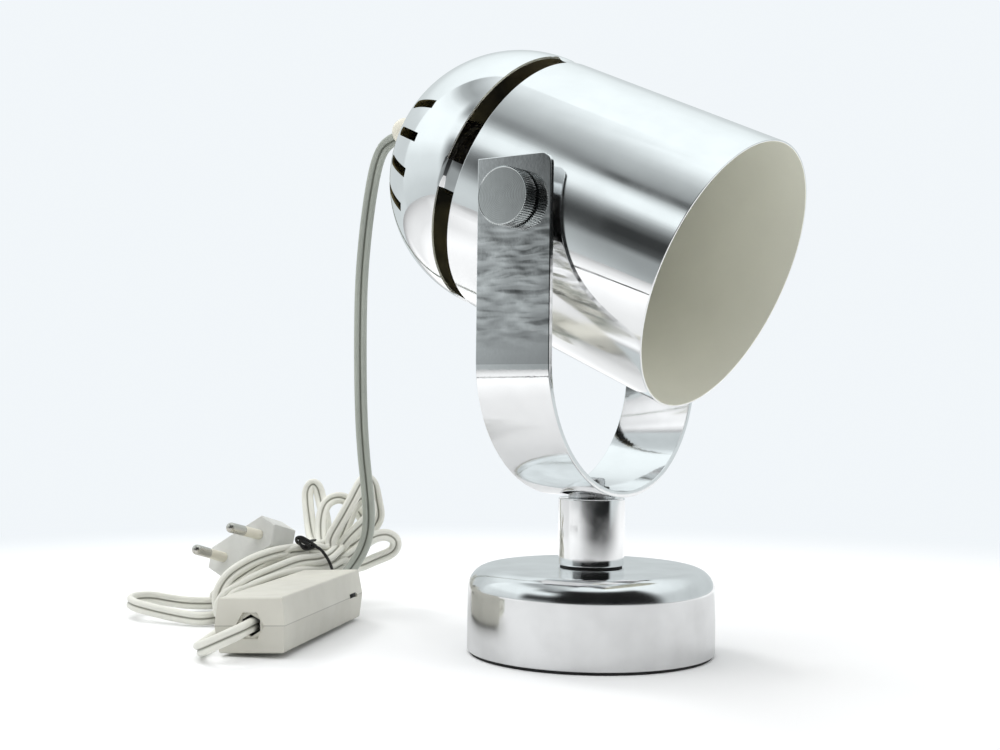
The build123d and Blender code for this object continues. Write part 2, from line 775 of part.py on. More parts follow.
def switch_shell(up):
    """One moulded half of the switch box, from the parting plane up or down, hollow inside."""
    reach = parting if up else -parting
    mouth = switch_plane.offset(parting)
    far = switch_plane.offset(parting + reach)
    inner_far = switch_plane.offset(parting + reach - math.copysign(switch_wall, reach))
    with BuildPart() as shell:
        with BuildSketch(mouth):
            Rectangle(switch_length, switch_width)
        with BuildSketch(far):
            Rectangle(switch_length - 2 * switch_draft, switch_width - 2 * switch_draft)
        loft()
        fillet(shell.faces().sort_by_distance(far.origin)[0].edges(), switch_fillet / 2)
        with BuildSketch(mouth):
            Rectangle(switch_length - 2 * switch_wall, switch_width - 2 * switch_wall)
        with BuildSketch(inner_far):
            Rectangle(
                switch_length - 2 * (switch_wall + switch_draft),
                switch_width - 2 * (switch_wall + switch_draft),
            )
        loft(mode=Mode.SUBTRACT)
        # Screw bosses
        with BuildSketch(mouth):
            with Locations((-switch_screw_place, 0), (switch_screw_place, 0)):
                Circle(boss_diameter / 2)
        extrude(amount=reach - math.copysign(switch_wall / 2, reach))
        # Six-sided cord outlet in each end, and a notch for prising the shells apart
        for end in (-1, 1):
            outlet = Plane(
                origin=switch_plane.from_local_coords(Vector(end * switch_length / 2, 0, parting)),
                x_dir=switch_plane.y_dir,
                z_dir=switch_plane.x_dir * end,
            )
            with BuildSketch(outlet):
                RegularPolygon(gland_across / 2, 6, major_radius=False)
            extrude(amount=switch_wall * 2, both=True, mode=Mode.SUBTRACT)
        with BuildSketch(mouth):
            with Locations((notch_place, -switch_width / 2)):
                Rectangle(notch_width, notch_depth * 2)
        extrude(amount=math.copysign(notch_height / 2, reach), mode=Mode.SUBTRACT)
        if up:
            with BuildSketch(mouth):
                with Locations((-switch_screw_place, 0), (switch_screw_place, 0)):
                    Circle(switch_screw_diameter / 2 - running_gap)
            extrude(amount=parting - switch_screw_end, mode=Mode.SUBTRACT)
        else:
            with BuildSketch(switch_plane):
                with Locations((-switch_screw_place, 0), (switch_screw_place, 0)):
                    Circle(switch_screw_diameter / 2 + running_gap)
            extrude(amount=parting, mode=Mode.SUBTRACT)
            with BuildSketch(switch_plane):
                with Locations((-switch_screw_place, 0), (switch_screw_place, 0)):
                    Circle(switch_screw_head / 2 + running_gap)
            extrude(amount=switch_wall, mode=Mode.SUBTRACT)
            # The rocker's window, and a cheek on each side of it that carries the pin
            with BuildSketch(switch_plane):
                Rectangle(rocker_length + 2 * rocker_clearance, rocker_width + 2 * rocker_clearance)
            extrude(amount=switch_wall, mode=Mode.SUBTRACT)
            with BuildSketch(switch_plane.offset(switch_wall)):
                with GridLocations(0, rocker_width + 2 * rocker_clearance + rocker_cheek, 1, 2):
                    Rectangle(rocker_cheek_length, rocker_cheek)
            extrude(amount=rocker_cheek_height)
            with BuildSketch(rocker_pin_plane):
                Circle(rocker_pin_diameter / 2)
            extrude(amount=pin_half_length, both=True, mode=Mode.SUBTRACT)
    return shell


switch_back = switch_shell(True)
finish_piece(switch_back, "switch_back")
switch_front = switch_shell(False)
finish_piece(switch_front, "switch_front")

rocker_place = Plane(switch_place * Location((0, 0, rocker_axis_height), (0, -rocker_angle, 0)))
rocker_side = Plane(origin=rocker_place.origin, x_dir=rocker_place.x_dir, z_dir=rocker_place.y_dir * -1)
with BuildPart() as rocker:
    # Seen from the side: a shallow V, one half of which stands out of the window
    with BuildSketch(rocker_side):
        with BuildLine():
            Polyline(
                (-rocker_length / 2, rocker_height - rocker_axis_height),
                (-rocker_length / 2, rocker_flush - rocker_axis_height),
                (0, rocker_dip - rocker_axis_height),
                (rocker_length / 2, rocker_flush - rocker_axis_height),
                (rocker_length / 2, rocker_height - rocker_axis_height),
                close=True,
            )
        make_face()
        Circle(rocker_pin_diameter / 2 + running_gap, mode=Mode.SUBTRACT)
    extrude(amount=rocker_width / 2, both=True)
finish_piece(rocker, "rocker")

with BuildPart() as rocker_pin:
    with BuildSketch(rocker_pin_plane):
        Circle(rocker_pin_diameter / 2)
    extrude(amount=pin_half_length, both=True)
finish_piece(rocker_pin, "rocker_pin")

with BuildPart() as contact_block:
    # Seated on the back shell, with a groove for the rocker's cam
    with BuildSketch(switch_plane.offset(switch_height - switch_wall)):
        Rectangle(contact_block_length, contact_block_width)
    extrude(amount=-contact_block_height)
    with BuildSketch(switch_plane.offset(switch_height - switch_wall - contact_block_height)):
        Rectangle(rocker_length, rocker_width / 2)
    extrude(amount=contact_block_height / 2, mode=Mode.SUBTRACT)
finish_piece(contact_block, "contact_block")

with BuildPart() as cord_clamps:
    # Blocks on the front shell's floor that hold the ends of the flex
    with BuildSketch(switch_plane.offset(switch_wall)):
        with Locations((-clamp_place, 0), (clamp_place, 0)):
            Rectangle(clamp_length, clamp_width)
    extrude(amount=parting + cord_diameter / 2 - switch_wall)
finish_piece(cord_clamps, "cord_clamps")

with BuildPart() as switch_screws:
    with BuildSketch(switch_plane):
        with Locations((-switch_screw_place, 0), (switch_screw_place, 0)):
            Circle(switch_screw_head / 2)
    extrude(amount=switch_wall - switch_screw_sink)
    with BuildSketch(switch_plane):
        with Locations((-switch_screw_place, 0), (switch_screw_place, 0)):
            Circle(switch_screw_diameter / 2 - running_gap)
    extrude(amount=switch_height - switch_screw_end - switch_wall)
finish_piece(switch_screws, "switch_screws")

# ---- Plug ----------------------------------------------------------------------------------------
plug_plane = Plane(origin=plug_face, x_dir=plug_width_direction, z_dir=plug_pin_direction)


def plug_section(width, shoulder, thickness):
    """A six-sided section, pointed at both narrow ends."""
    with BuildSketch() as section:
        with BuildLine():
            Polyline(
                (width / 2, 0),
                (shoulder / 2, thickness / 2),
                (-shoulder / 2, thickness / 2),
                (-width / 2, 0),
                (-shoulder / 2, -thickness / 2),
                (shoulder / 2, -thickness / 2),
                close=True,
            )
        make_face()
    return section.sketch


with BuildPart() as plug_body:
    with BuildSketch(plug_plane):
        add(plug_section(plug_width, plug_shoulder_width, plug_thickness))
    extrude(amount=-plug_block_length)
    chamfer(plug_body.faces().sort_by_distance(plug_plane.origin)[0].edges(), plug_edge / 2)
    with BuildSketch(plug_plane.offset(-plug_block_length)):
        add(
            plug_section(
                plug_width - 2 * plug_step,
                plug_shoulder_width - plug_step,
                plug_thickness - plug_step,
            )
        )
    with BuildSketch(plug_plane.offset(-plug_body_length)):
        add(plug_section(plug_neck_width, plug_neck_shoulder, plug_neck_thickness))
    loft()
    with BuildSketch(plug_plane.offset(-plug_body_length)):
        Circle(plug_relief_diameter / 2)
    with BuildSketch(plug_plane.offset(-plug_body_length - plug_relief_length)):
        Circle(plug_tail_diameter / 2)
    loft()
    with BuildSketch(plug_plane):
        with Locations((-pin_spacing_base / 2, 0), (pin_spacing_base / 2, 0)):
            Circle(pin_diameter / 2)
    extrude(amount=-pin_root, mode=Mode.SUBTRACT)
finish_piece(plug_body, "plug_body")


def pin_plane(sign):
    """The plane at one pin's foot, leaning a little towards the other pin."""
    foot = Vector(sign * pin_spacing_base / 2, 0, 0)
    tip = Vector(sign * pin_spacing_tip / 2, 0, pin_length)
    start = plug_plane.from_local_coords(foot)
    end = plug_plane.from_local_coords(tip)
    return Plane(origin=start, x_dir=plug_plane.y_dir, z_dir=end - start)


with BuildPart() as plug_pins:
    for sign in (-1, 1):
        with BuildSketch(plug_plane.offset(-pin_root)):
            with Locations((sign * pin_spacing_base / 2, 0)):
                Circle(pin_diameter / 2)
        extrude(amount=pin_root)
        foot = pin_plane(sign)
        with BuildSketch(foot):
            Circle(pin_diameter / 2 - pin_sleeve_wall)
        extrude(amount=pin_sleeve_length)
        with BuildSketch(foot.offset(pin_sleeve_length)):
            Circle(pin_diameter / 2)
        extrude(amount=pin_length - pin_sleeve_length)
        tip = foot.origin + foot.z_dir * pin_length
        fillet(plug_pins.edges().filter_by(GeomType.CIRCLE).sort_by_distance(tip)[0], pin_tip_round)
finish_piece(plug_pins, "plug_pins")

with BuildPart() as pin_sleeves:
    for sign in (-1, 1):
        with BuildSketch(pin_plane(sign).offset(running_gap)):
            Circle(pin_diameter / 2)
            Circle(pin_diameter / 2 - pin_sleeve_wall, mode=Mode.SUBTRACT)
        extrude(amount=pin_sleeve_length - running_gap)
finish_piece(pin_sleeves, "pin_sleeves")

# ---- Flex ----------------------------------------------------------------------------------------


def bend_radii(points):
    """A bend radius for each inner point: as large as its two runs allow."""
    radii = []
    for before, here, after in zip(points, points[1:], points[2:]):
        run_in = Vector(*here) - Vector(*before)
        run_out = Vector(*after) - Vector(*here)
        half_turn = math.radians(run_in.get_angle(run_out)) / 2
        radii.append(bend_share * min(run_in.length, run_out.length) / math.tan(half_turn))
    return radii


def lead(points, name):
    """A free lead: a round tube along straight runs joined by tangent arcs."""
    radii = bend_radii(points)
    with BuildPart() as tube:
        with BuildLine():
            route = FilletPolyline(*points, radius=radii)
        with BuildSketch(Plane(origin=route @ 0, z_dir=route % 0)):
            Circle(cord_diameter / 2)
        sweep(path=route)
    ratio = tube.part.volume / (route.length * math.pi * cord_diameter**2 / 4)
    smallest = min(radii)
    print(f"{name}: length {route.length:.1f}, least radius {smallest:.1f}, volume ratio {ratio:.4f}")
    print("   radii", " ".join(f"{r:.0f}" for r in radii))
    return tube


lamp_gland = switch_plane.from_local_coords(Vector(switch_length / 2, 0, parting))
plug_tail = plug_plane.from_local_coords(Vector(0, 0, -plug_body_length - plug_relief_length))
print("gland at the lamp's end", lamp_gland, "plug tail", plug_tail, "grip outlet", grip_outlet)

# Inside the switch each lead ends on its clamp block
clamp_face = clamp_place + clamp_length / 2
lamp_clamp = switch_plane.from_local_coords(Vector(clamp_face, 0, parting))
plug_clamp = switch_plane.from_local_coords(Vector(-clamp_face, 0, parting))

lamp_lead_start = grip_outlet + exit_direction * running_gap
lamp_lead_route = [tuple(lamp_lead_start)] + lamp_lead_points + [tuple(lamp_gland), tuple(lamp_clamp)]
lamp_lead = lead(lamp_lead_route, "lamp_lead")
finish_piece(lamp_lead, "lamp_lead")
tail_lead = lead([tuple(plug_clamp)] + tail_lead_points, "tail_lead")
finish_piece(tail_lead, "tail_lead")
plug_lead = lead([tuple(plug_tail)] + plug_lead_points, "plug_lead")
finish_piece(plug_lead, "plug_lead")

waist = Plane(origin=hank_waist, z_dir=hank_waist_direction)
waist_half = hank_waist_length / 2
with BuildPart() as cord_hank:
    # Turns that lie flat on the table, under the plug
    with BuildSketch(Plane.XY.offset(hank_floor_gap)) as flat_turns:
        with BuildLine():
            Polyline(*hank_flat_outline, close=True)
        make_face()
        fillet(flat_turns.vertices(), hank_flat_corner)
    extrude(amount=hank_flat_height)
    fillet(cord_hank.edges().group_by(Axis.Z)[-1], hank_flat_round)
    # The tied waist, and the loops that arch over from it to the left and come down to the table
    with BuildSketch(waist.offset(-waist_half)):
        Circle(hank_waist_radius)
    extrude(amount=hank_waist_length)
    with BuildSketch(waist.offset(-waist_half)):
        Circle(hank_waist_radius)
    for centre, direction, width, height in hank_arch:
        level = Vector(0, 0, 1).cross(Vector(direction))
        with BuildSketch(Plane(origin=centre, x_dir=level, z_dir=direction)):
            Ellipse(width / 2, height / 2)
    loft()
    # The other end stands up in a fan, on turns that reach the table
    with BuildSketch(waist.offset(waist_half)):
        Circle(hank_waist_radius)
    with BuildSketch(Plane(origin=fan_root, z_dir=hank_waist_direction)):
        Ellipse(hank_waist_radius, hank_waist_radius)
    loft()
    fan_across = Vector(0, 0, 1).cross(Vector(fan_normal))
    with BuildSketch(Plane(origin=fan_centre, x_dir=fan_across, z_dir=fan_across.cross(Vector(fan_normal)))):
        Ellipse(fan_radius, fan_thickness / 2)
        Rectangle(fan_radius, fan_thickness, align=(Align.MAX, Align.CENTER), mode=Mode.SUBTRACT)
    revolve(axis=Axis(fan_centre, fan_normal))
    with BuildSketch(Plane.XY.offset(hank_floor_gap)) as fan_foot:
        with BuildLine():
            Polyline(*fan_foot_outline, close=True)
        make_face()
        fillet(fan_foot.vertices(), fan_foot_corner)
    extrude(amount=fan_foot_height)
finish_piece(cord_hank, "cord_hank")

with BuildPart() as twist_tie:
    ring_radius = hank_waist_radius + tie_gap + tie_wire / 2
    with Locations(waist):
        Torus(ring_radius, tie_wire / 2)
    tail_foot = waist.origin + Vector(tie_side) * ring_radius
    with BuildSketch(Plane(origin=tail_foot, z_dir=tie_tail_direction)):
        Circle(tie_tail_diameter / 2)
    extrude(amount=tie_tail)
finish_piece(twist_tie, "twist_tie")

print(len(finished), "pieces:", " ".join(finished))
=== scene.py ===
import math

import bmesh
import bpy
from bpy.props import FloatProperty, FloatVectorProperty, IntProperty, PointerProperty
from mathutils import Euler, Matrix, Vector


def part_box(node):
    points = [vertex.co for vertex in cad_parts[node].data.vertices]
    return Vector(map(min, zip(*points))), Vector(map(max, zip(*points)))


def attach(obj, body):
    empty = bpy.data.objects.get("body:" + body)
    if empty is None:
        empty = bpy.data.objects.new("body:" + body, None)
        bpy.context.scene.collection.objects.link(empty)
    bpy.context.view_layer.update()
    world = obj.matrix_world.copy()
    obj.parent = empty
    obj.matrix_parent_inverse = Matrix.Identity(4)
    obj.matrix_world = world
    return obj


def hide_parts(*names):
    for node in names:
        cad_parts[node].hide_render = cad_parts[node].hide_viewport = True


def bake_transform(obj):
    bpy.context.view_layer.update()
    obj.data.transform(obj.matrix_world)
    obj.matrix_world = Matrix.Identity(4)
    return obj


bl_info = {
    "name": "Tabletop Searchlight",
    "version": (1, 0, 0),
    "blender": (4, 5, 0),
    "location": "3D View > Sidebar > Searchlight",
    "description": "Dresses a tabletop searchlight lamp's frame with its pieces and a plain studio",
    "category": "Object",
}

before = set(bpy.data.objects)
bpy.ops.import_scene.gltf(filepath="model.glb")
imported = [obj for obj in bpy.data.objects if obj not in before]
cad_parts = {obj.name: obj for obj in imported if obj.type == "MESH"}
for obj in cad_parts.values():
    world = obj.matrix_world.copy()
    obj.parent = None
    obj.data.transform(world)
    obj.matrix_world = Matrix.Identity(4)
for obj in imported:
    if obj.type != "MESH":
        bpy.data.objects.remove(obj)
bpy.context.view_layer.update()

MM = 0.001
SIDE = Vector((1, 0, 0))
UP = Vector((0, 0, 1))


def size_field(label, about, default):
    return FloatProperty(name=label, description=about, default=default, unit="LENGTH")


def colour_field(label, about, *default):
    return FloatVectorProperty(name=label, description=about, subtype="COLOR", size=3, default=default)


class SearchlightSizes(bpy.types.PropertyGroup):
    """Sizes of the lamp that a user would change."""

    base_diameter: size_field("Foot diameter", "Across the round foot", 0.084)
    base_height: size_field("Foot height", "From the table to the foot's flat top", 0.0292)
    base_shoulder: size_field("Foot shoulder", "Radius of the foot's rounded shoulder", 0.0075)
    stem_diameter: size_field("Stem diameter", "Across the stem", 0.0226)
    stem_top: size_field("Stem top", "Height of the stem's top over the table", 0.0526)
    yoke_span: size_field("Yoke span", "Across the outsides of the yoke's arms", 0.1006)
    yoke_width: size_field("Strap width", "Width of the yoke's flat strap", 0.0275)
    yoke_thickness: size_field("Strap thickness", "Thickness of the yoke's strap", 0.002)
    pivot_height: size_field("Pivot height", "Height of the head's pivot", 0.1485)
    head_tilt: FloatProperty(
        name="Head tilt", description="Downward aim of the head", default=math.radians(24.55), subtype="ANGLE"
    )
    head_diameter: size_field("Head diameter", "Across the round head", 0.0925)
    head_wall: size_field("Head wall", "Thickness of the head's sheet metal", 0.0008)
    shade_front: size_field("Shade front", "From the pivot to the shade's rim", 0.0547)
    shade_rear: size_field("Shade rear", "From the pivot to the shade's rear edge", 0.026)
    vent_gap: size_field("Vent gap", "Between the shade and the dome", 0.007)
    knob_diameter: size_field("Thumb screw diameter", "Across the knurled knob", 0.0185)
    knob_ridges: IntProperty(
        name="Thumb screw ridges", description="Ridges round the knurled knob", default=72, min=12
    )
    cord_width: size_field("Flex width", "Across both cores of the twin flex", 0.005)


class SearchlightColours(bpy.types.PropertyGroup):
    """Colours of the lamp that a user would change."""

    chrome: colour_field("Chrome", "Tint of the plated parts", 0.93, 0.935, 0.94)
    enamel: colour_field("Inside enamel", "Inside of the shade", 0.80, 0.80, 0.70)
    flex: colour_field("Mains flex", "Twin flex of the hank", 0.82, 0.82, 0.75)
    # The lamp flex is coloured darker and greener than the mains flex; the darkness is painted shade of a
    # lead hanging in shadow
    lamp_flex: colour_field("Lamp flex", "Twin flex to the head", 0.43, 0.46, 0.41)
    switch: colour_field("Switch", "Inline switch box", 0.68, 0.67, 0.60)
    plug: colour_field("Plug", "Plug body", 0.70, 0.71, 0.68)
    floor: colour_field("Floor", "Floor paper", 0.93, 0.94, 0.945)
    backdrop: colour_field("Backdrop", "Backdrop paper", 0.885, 0.925, 0.955)


def sizes():
    return bpy.context.scene.searchlight_sizes


def colours():
    return bpy.context.scene.searchlight_colours


# ---- Mesh helpers --------------------------------------------------------------------------------
def make_object(name, bm, finish):
    """Turns a finished bmesh into an object at the origin."""
    mesh = bpy.data.meshes.new(name)
    bm.to_mesh(mesh)
    bm.free()
    mesh.shade_smooth()
    if finish:
        mesh.materials.append(finish)
    piece = bpy.data.objects.new(name, mesh)
    bpy.context.scene.collection.objects.link(piece)
    return piece


def fit(piece, body, nodes=()):
    """Makes a piece ride on a body and stand for the CAD nodes that it replaces."""
    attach(piece, body)
    if nodes:
        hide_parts(*nodes)
    return piece


def even_shading(piece):
    """Keeps edges crisp past 38 degrees and flat faces flat beside their rounded edges."""
    piece.data.set_sharp_from_angle(angle=math.radians(38))
    weighted = piece.modifiers.new("Even shading", "WEIGHTED_NORMAL")
    weighted.keep_sharp = True
    weighted.weight = 80
    return piece


def settle(piece):
    """Applies a piece's modifiers to its mesh."""
    bpy.context.view_layer.update()
    shown = piece.evaluated_get(bpy.context.evaluated_depsgraph_get())
    mesh = bpy.data.meshes.new_from_object(shown)
    piece.modifiers.clear()
    old = piece.data
    piece.data = mesh
    bpy.data.meshes.remove(old)
    mesh.name = piece.name
    return piece


def cut(piece, cutter_bm):
    """Cuts a tool shape out of a piece."""
    bmesh.ops.recalc_face_normals(cutter_bm, faces=cutter_bm.faces)
    tool = make_object("cutting_tool", cutter_bm, None)
    for material in piece.data.materials:
        tool.data.materials.append(material)
    removal = piece.modifiers.new("Cut", "BOOLEAN")
    removal.operation = "DIFFERENCE"
    removal.solver = "EXACT"
    removal.object = tool
    settle(piece)
    bpy.data.meshes.remove(tool.data)
    return piece


def outline(bm, points, closed=False):
    """A chain of edges through a few corner points (across, height), in the XZ plane."""
    corners = [bm.verts.new((across, 0, height)) for across, height in points]
    chain = [bm.edges.new(pair) for pair in zip(corners, corners[1:])]
    if closed:
        chain.append(bm.edges.new((corners[-1], corners[0])))
    return corners + chain


def turn(bm, geometry, steps):
    """Turns an outline a full round about Z and closes its poles."""
    bmesh.ops.spin(
        bm, geom=geometry, cent=(0, 0, 0), axis=(0, 0, 1), angle=2 * math.pi, steps=steps, use_merge=True
    )
    bmesh.ops.remove_doubles(bm, verts=bm.verts, dist=0.000002)
    bmesh.ops.dissolve_degenerate(bm, edges=bm.edges, dist=0.0000005)
    bmesh.ops.recalc_face_normals(bm, faces=bm.faces)


def ring_edges(bm, radius, height, tolerance=0.00002):
    """The edges of the ring at this radius and height about Z."""
    found = []
    for edge in bm.edges:
        if all(
            abs(math.hypot(v.co.x, v.co.y) - radius) < tolerance and abs(v.co.z - height) < tolerance
            for v in edge.verts
        ):
            found.append(edge)
    return found


def soften(bm, edges, width, segments=3):
    """Rounds edges off."""
    bmesh.ops.bevel(
        bm,
        geom=edges,
        offset=width,
        offset_type="OFFSET",
        segments=segments,
        profile=0.5,
        affect="EDGES",
        material=-1,
        clamp_overlap=True,
    )


def cylinder(bm, radius, depth, matrix, segments):
    bmesh.ops.create_cone(
        bm,
        cap_ends=True,
        segments=segments,
        radius1=radius,
        radius2=radius,
        depth=depth,
        matrix=matrix,
    )


def extruded(bm, edges):
    """Extrudes a chain of edges, and gives the new vertices and the new chain."""
    made = bmesh.ops.extrude_edge_only(bm, edges=edges)["geom"]
    verts = [item for item in made if isinstance(item, bmesh.types.BMVert)]
    chain = [item for item in made if isinstance(item, bmesh.types.BMEdge)]
    return verts, [edge for edge in chain if all(vertex in verts for vertex in edge.verts)]


def sweep(bm, ring, matrices):
    """Sweeps a closed ring of vertices through matrices and closes both ends."""
    edges = [edge for edge in bm.edges if all(vertex in ring for vertex in edge.verts)]
    start = list(edges)
    bmesh.ops.transform(bm, matrix=matrices[0], verts=ring)
    for before, after in zip(matrices, matrices[1:]):
        verts, edges = extruded(bm, edges)
        bmesh.ops.transform(bm, matrix=after @ before.inverted(), verts=verts)
    bmesh.ops.holes_fill(bm, edges=start + edges, sides=0)


def towards(direction, place, across):
    """A matrix whose Z leads along a direction, from a place, and whose X lies near another one."""
    z = Vector(direction).normalized()
    hint = Vector(across)
    x = (hint - z * hint.dot(z)).normalized()
    y = z.cross(x)
    turned = Matrix((x, y, z)).transposed().to_4x4()
    turned.translation = Vector(place)
    return turned


def head_matrix():
    """Places the head: X across it, Y towards its crown, Z along its aim, from the pivot."""
    s = sizes()
    aim = Vector((0, -math.cos(s.head_tilt), -math.sin(s.head_tilt)))
    return towards(aim, (0, 0, s.pivot_height), SIDE)


# ---- Shader nodes --------------------------------------------------------------------------------
def node(tree, kind, inputs=None, **settings):
    """Adds a node with its settings, and sets its inputs or links them to other nodes' outputs."""
    made = tree.nodes.new("ShaderNode" + kind)
    for setting, value in settings.items():
        setattr(made, setting, value)
    for socket, value in (inputs or {}).items():
        if isinstance(value, bpy.types.NodeSocket):
            tree.links.new(value, made.inputs[socket])
        else:
            made.inputs[socket].default_value = value
    return made


def calculated(tree, operation, *values):
    return node(tree, "Math", dict(enumerate(values)), operation=operation).outputs[0]


def gathered(tree, operation, *values):
    """All the values joined by one operation, one after another."""
    result = values[0]
    for value in values[1:]:
        result = calculated(tree, operation, result, value)
    return result


def own_place(tree):
    """The object's own coordinates."""
    return node(tree, "TexCoord").outputs["Object"]


def reach_along(tree, vector, axis):
    return node(tree, "VectorMath", {0: vector, 1: axis}, operation="DOT_PRODUCT").outputs["Value"]


def remap(tree, value, low, high, out_low=0.0, out_high=1.0, curve="LINEAR"):
    ends = {"From Min": low, "From Max": high, "To Min": out_low, "To Max": out_high}
    return node(tree, "MapRange", {"Value": value, **ends}, interpolation_type=curve).outputs["Result"]


def mixed(tree, share, first, second, blend="MIX"):
    """The second colour laid over the first by a share."""
    return node(tree, "Mix", {0: share, 6: first, 7: second}, data_type="RGBA", blend_type=blend).outputs[2]


def layered(tree, share, first, second):
    """The second shader laid over the first by a share."""
    return node(tree, "MixShader", {0: share, 1: first, 2: second}).outputs[0]


def ramp(tree, value, stops):
    """Grey levels by a value, from stops of a position and a level."""
    made = node(tree, "ValToRGB", {"Fac": value})
    marks = made.color_ramp.elements
    while len(marks) < len(stops):
        marks.new(0.5)
    for mark, (position, level) in zip(marks, stops):
        mark.position = position
        mark.color = (level, level, level, 1)
    return made.outputs["Color"]


# ---- Finishes ------------------------------------------------------------------------------------
def shader_of(finish):
    return finish.node_tree.nodes["Principled BSDF"]


def new_finish(name, colour, roughness=0.5, metallic=0.0):
    """A material with its constants set on the shader's own sockets."""
    finish = bpy.data.materials.new(name)
    finish.use_nodes = True
    inputs = shader_of(finish).inputs
    inputs["Base Color"].default_value = (*colour, 1)
    inputs["Roughness"].default_value = roughness
    inputs["Metallic"].default_value = metallic
    return finish


def noise(finish, scale, detail=3.0, stretch=(1, 1, 1), roughness=0.5, tilt=0.0):
    """Cloudy pattern on the object's own coordinates, which may be tilted about X and stretched."""
    tree = finish.node_tree
    turned = node(tree, "Mapping", {"Vector": own_place(tree), "Rotation": (tilt, 0, 0)}).outputs["Vector"]
    place = node(tree, "Mapping", {"Vector": turned, "Scale": stretch}).outputs["Vector"]
    cloud = {"Vector": place, "Scale": scale, "Detail": detail, "Roughness": roughness}
    return node(tree, "TexNoise", cloud).outputs["Fac"]


def vary_roughness(finish, value, low, high):
    """Smears and handling: the roughness follows a pattern."""
    tree = finish.node_tree
    tree.links.new(remap(tree, value, 0.35, 0.65, low, high), shader_of(finish).inputs["Roughness"])


def vary_colour(finish, value, dark, light, low=0.35, high=0.65):
    """Clouding: the colour follows a pattern."""
    tree = finish.node_tree
    cloudy = mixed(tree, remap(tree, value, low, high), (*dark, 1), (*light, 1))
    tree.links.new(cloudy, shader_of(finish).inputs["Base Color"])


def relief(finish, value, depth, strength=1.0):
    """Small bumps in the surface, added to any that the finish already has."""
    tree = finish.node_tree
    normal = shader_of(finish).inputs["Normal"]
    inputs = {"Distance": depth, "Strength": strength, "Height": value}
    if normal.is_linked:
        inputs["Normal"] = normal.links[0].from_socket
    tree.links.new(node(tree, "Bump", inputs).outputs["Normal"], normal)


def shaded(colour, factor):
    return tuple(min(1.0, channel * factor) for channel in colour)


def within(finish, axis, low, high):
    """1 between two distances along an axis in the object's coordinates, and 0 elsewhere."""
    tree = finish.node_tree
    reach = reach_along(tree, own_place(tree), axis)
    return calculated(tree, "COMPARE", reach, (low + high) / 2, (high - low) / 2)


def darkened(finish, levels, *masks):
    """Multiplies the finish's colour by a level for each channel where all masks are 1."""
    tree = finish.node_tree
    colour = shader_of(finish).inputs["Base Color"]
    share = gathered(tree, "MULTIPLY", *masks)
    tree.links.new(mixed(tree, share, colour.links[0].from_socket, (*levels, 1), "MULTIPLY"), colour)
    return finish


def chrome(name, smear_scale=45.0, low=0.02, high=0.10):
    """Polished chrome plate with faint smears."""
    tint = tuple(colours().chrome)
    finish = new_finish(name, tint, roughness=low, metallic=1.0)
    vary_roughness(finish, noise(finish, smear_scale, detail=5.0), low, high)
    vary_colour(finish, noise(finish, 90.0, detail=2.0), shaded(tint, 0.96), tint)
    return finish


# Painted shade: how dark the strap's ripple troughs and the start of its bend are coloured
PAINTED_TROUGH_SHADE = (0.74, 0.74, 0.74)


def rolled_chrome(name):
    """Chrome on rolled strap: level ripples and a fine orange peel, fading out towards the arms' tops, with
    painted shade in the ripples' troughs and at the start of the bend.
    """
    finish = chrome(name, low=0.04, high=0.12)
    tree = finish.node_tree
    ripples = noise(finish, 1.0, detail=1.0, stretch=(80, 88, 320), roughness=0.4)
    height = node(tree, "SeparateXYZ", {0: own_place(tree)}).outputs["Z"]
    upper = remap(tree, height, 0.130, 0.148, 1.0, 0.1)
    lower = remap(tree, height, 0.1, 0.106)
    # Painted shade in the ripples' troughs, fading out towards the arms' tops and the strap's bottom
    darkened(finish, PAINTED_TROUGH_SHADE, remap(tree, ripples, 0.42, 0.58, 1.0, 0.0), upper, lower)
    above_bend = within(finish, (0, 0, 1), 0.0965, 0.2)
    # Painted shade where the bend starts, fading out upwards
    darkened(finish, PAINTED_TROUGH_SHADE, remap(tree, height, 0.098, 0.112, 1.0, 0.0), above_bend)
    relief(finish, gathered(tree, "MULTIPLY", ripples, upper, lower), 0.00028)
    relief(finish, noise(finish, 900.0, detail=2.0), 0.000006)
    return finish


def turned_metal(name, centre, colour, roughness=0.09):
    """Metal faced on a lathe: fine rings about the X axis and a few scratches."""
    finish = new_finish(name, colour, roughness=roughness, metallic=1.0)
    tree = finish.node_tree
    place = node(tree, "Mapping", {"Vector": own_place(tree), "Location": tuple(-Vector(centre))})
    wave = {"Vector": place.outputs["Vector"], "Scale": 550.0, "Distortion": 1.2}
    rings = node(tree, "TexWave", wave, wave_type="RINGS", rings_direction="X")
    relief(finish, rings.outputs["Fac"], 0.0000012)
    relief(finish, noise(finish, 1.0, detail=4.0, stretch=(300, 900, 220), roughness=0.6), 0.0000025)
    vary_roughness(finish, noise(finish, 500.0, detail=4.0), roughness * 0.9, roughness * 1.15)
    vary_colour(finish, noise(finish, 220.0, detail=3.0), shaded(colour, 0.95), colour)
    return finish


def plain_metal(name, colour, roughness=0.32, grain=400.0, depth=0.00002):
    finish = new_finish(name, colour, roughness=roughness, metallic=1.0)
    vary_roughness(finish, noise(finish, grain, detail=3.0), roughness * 0.75, roughness * 1.3)
    relief(finish, noise(finish, grain * 4, detail=2.0), depth, 0.5)
    return finish


def inside_with_painted_shade(name):
    """Dull sheet metal inside the head, coloured dark olive brown and mottled towards near black: painted
    shade of the closed inside over the metal's own tone.
    """
    finish = new_finish(name, (0.055, 0.048, 0.022), roughness=0.45, metallic=0.6)
    vary_colour(finish, noise(finish, 28.0, detail=2.0), (0.02, 0.018, 0.011), (0.24, 0.20, 0.09), 0.42, 0.68)
    relief(finish, noise(finish, 900.0, detail=2.0), 0.000005, 0.5)
    return finish


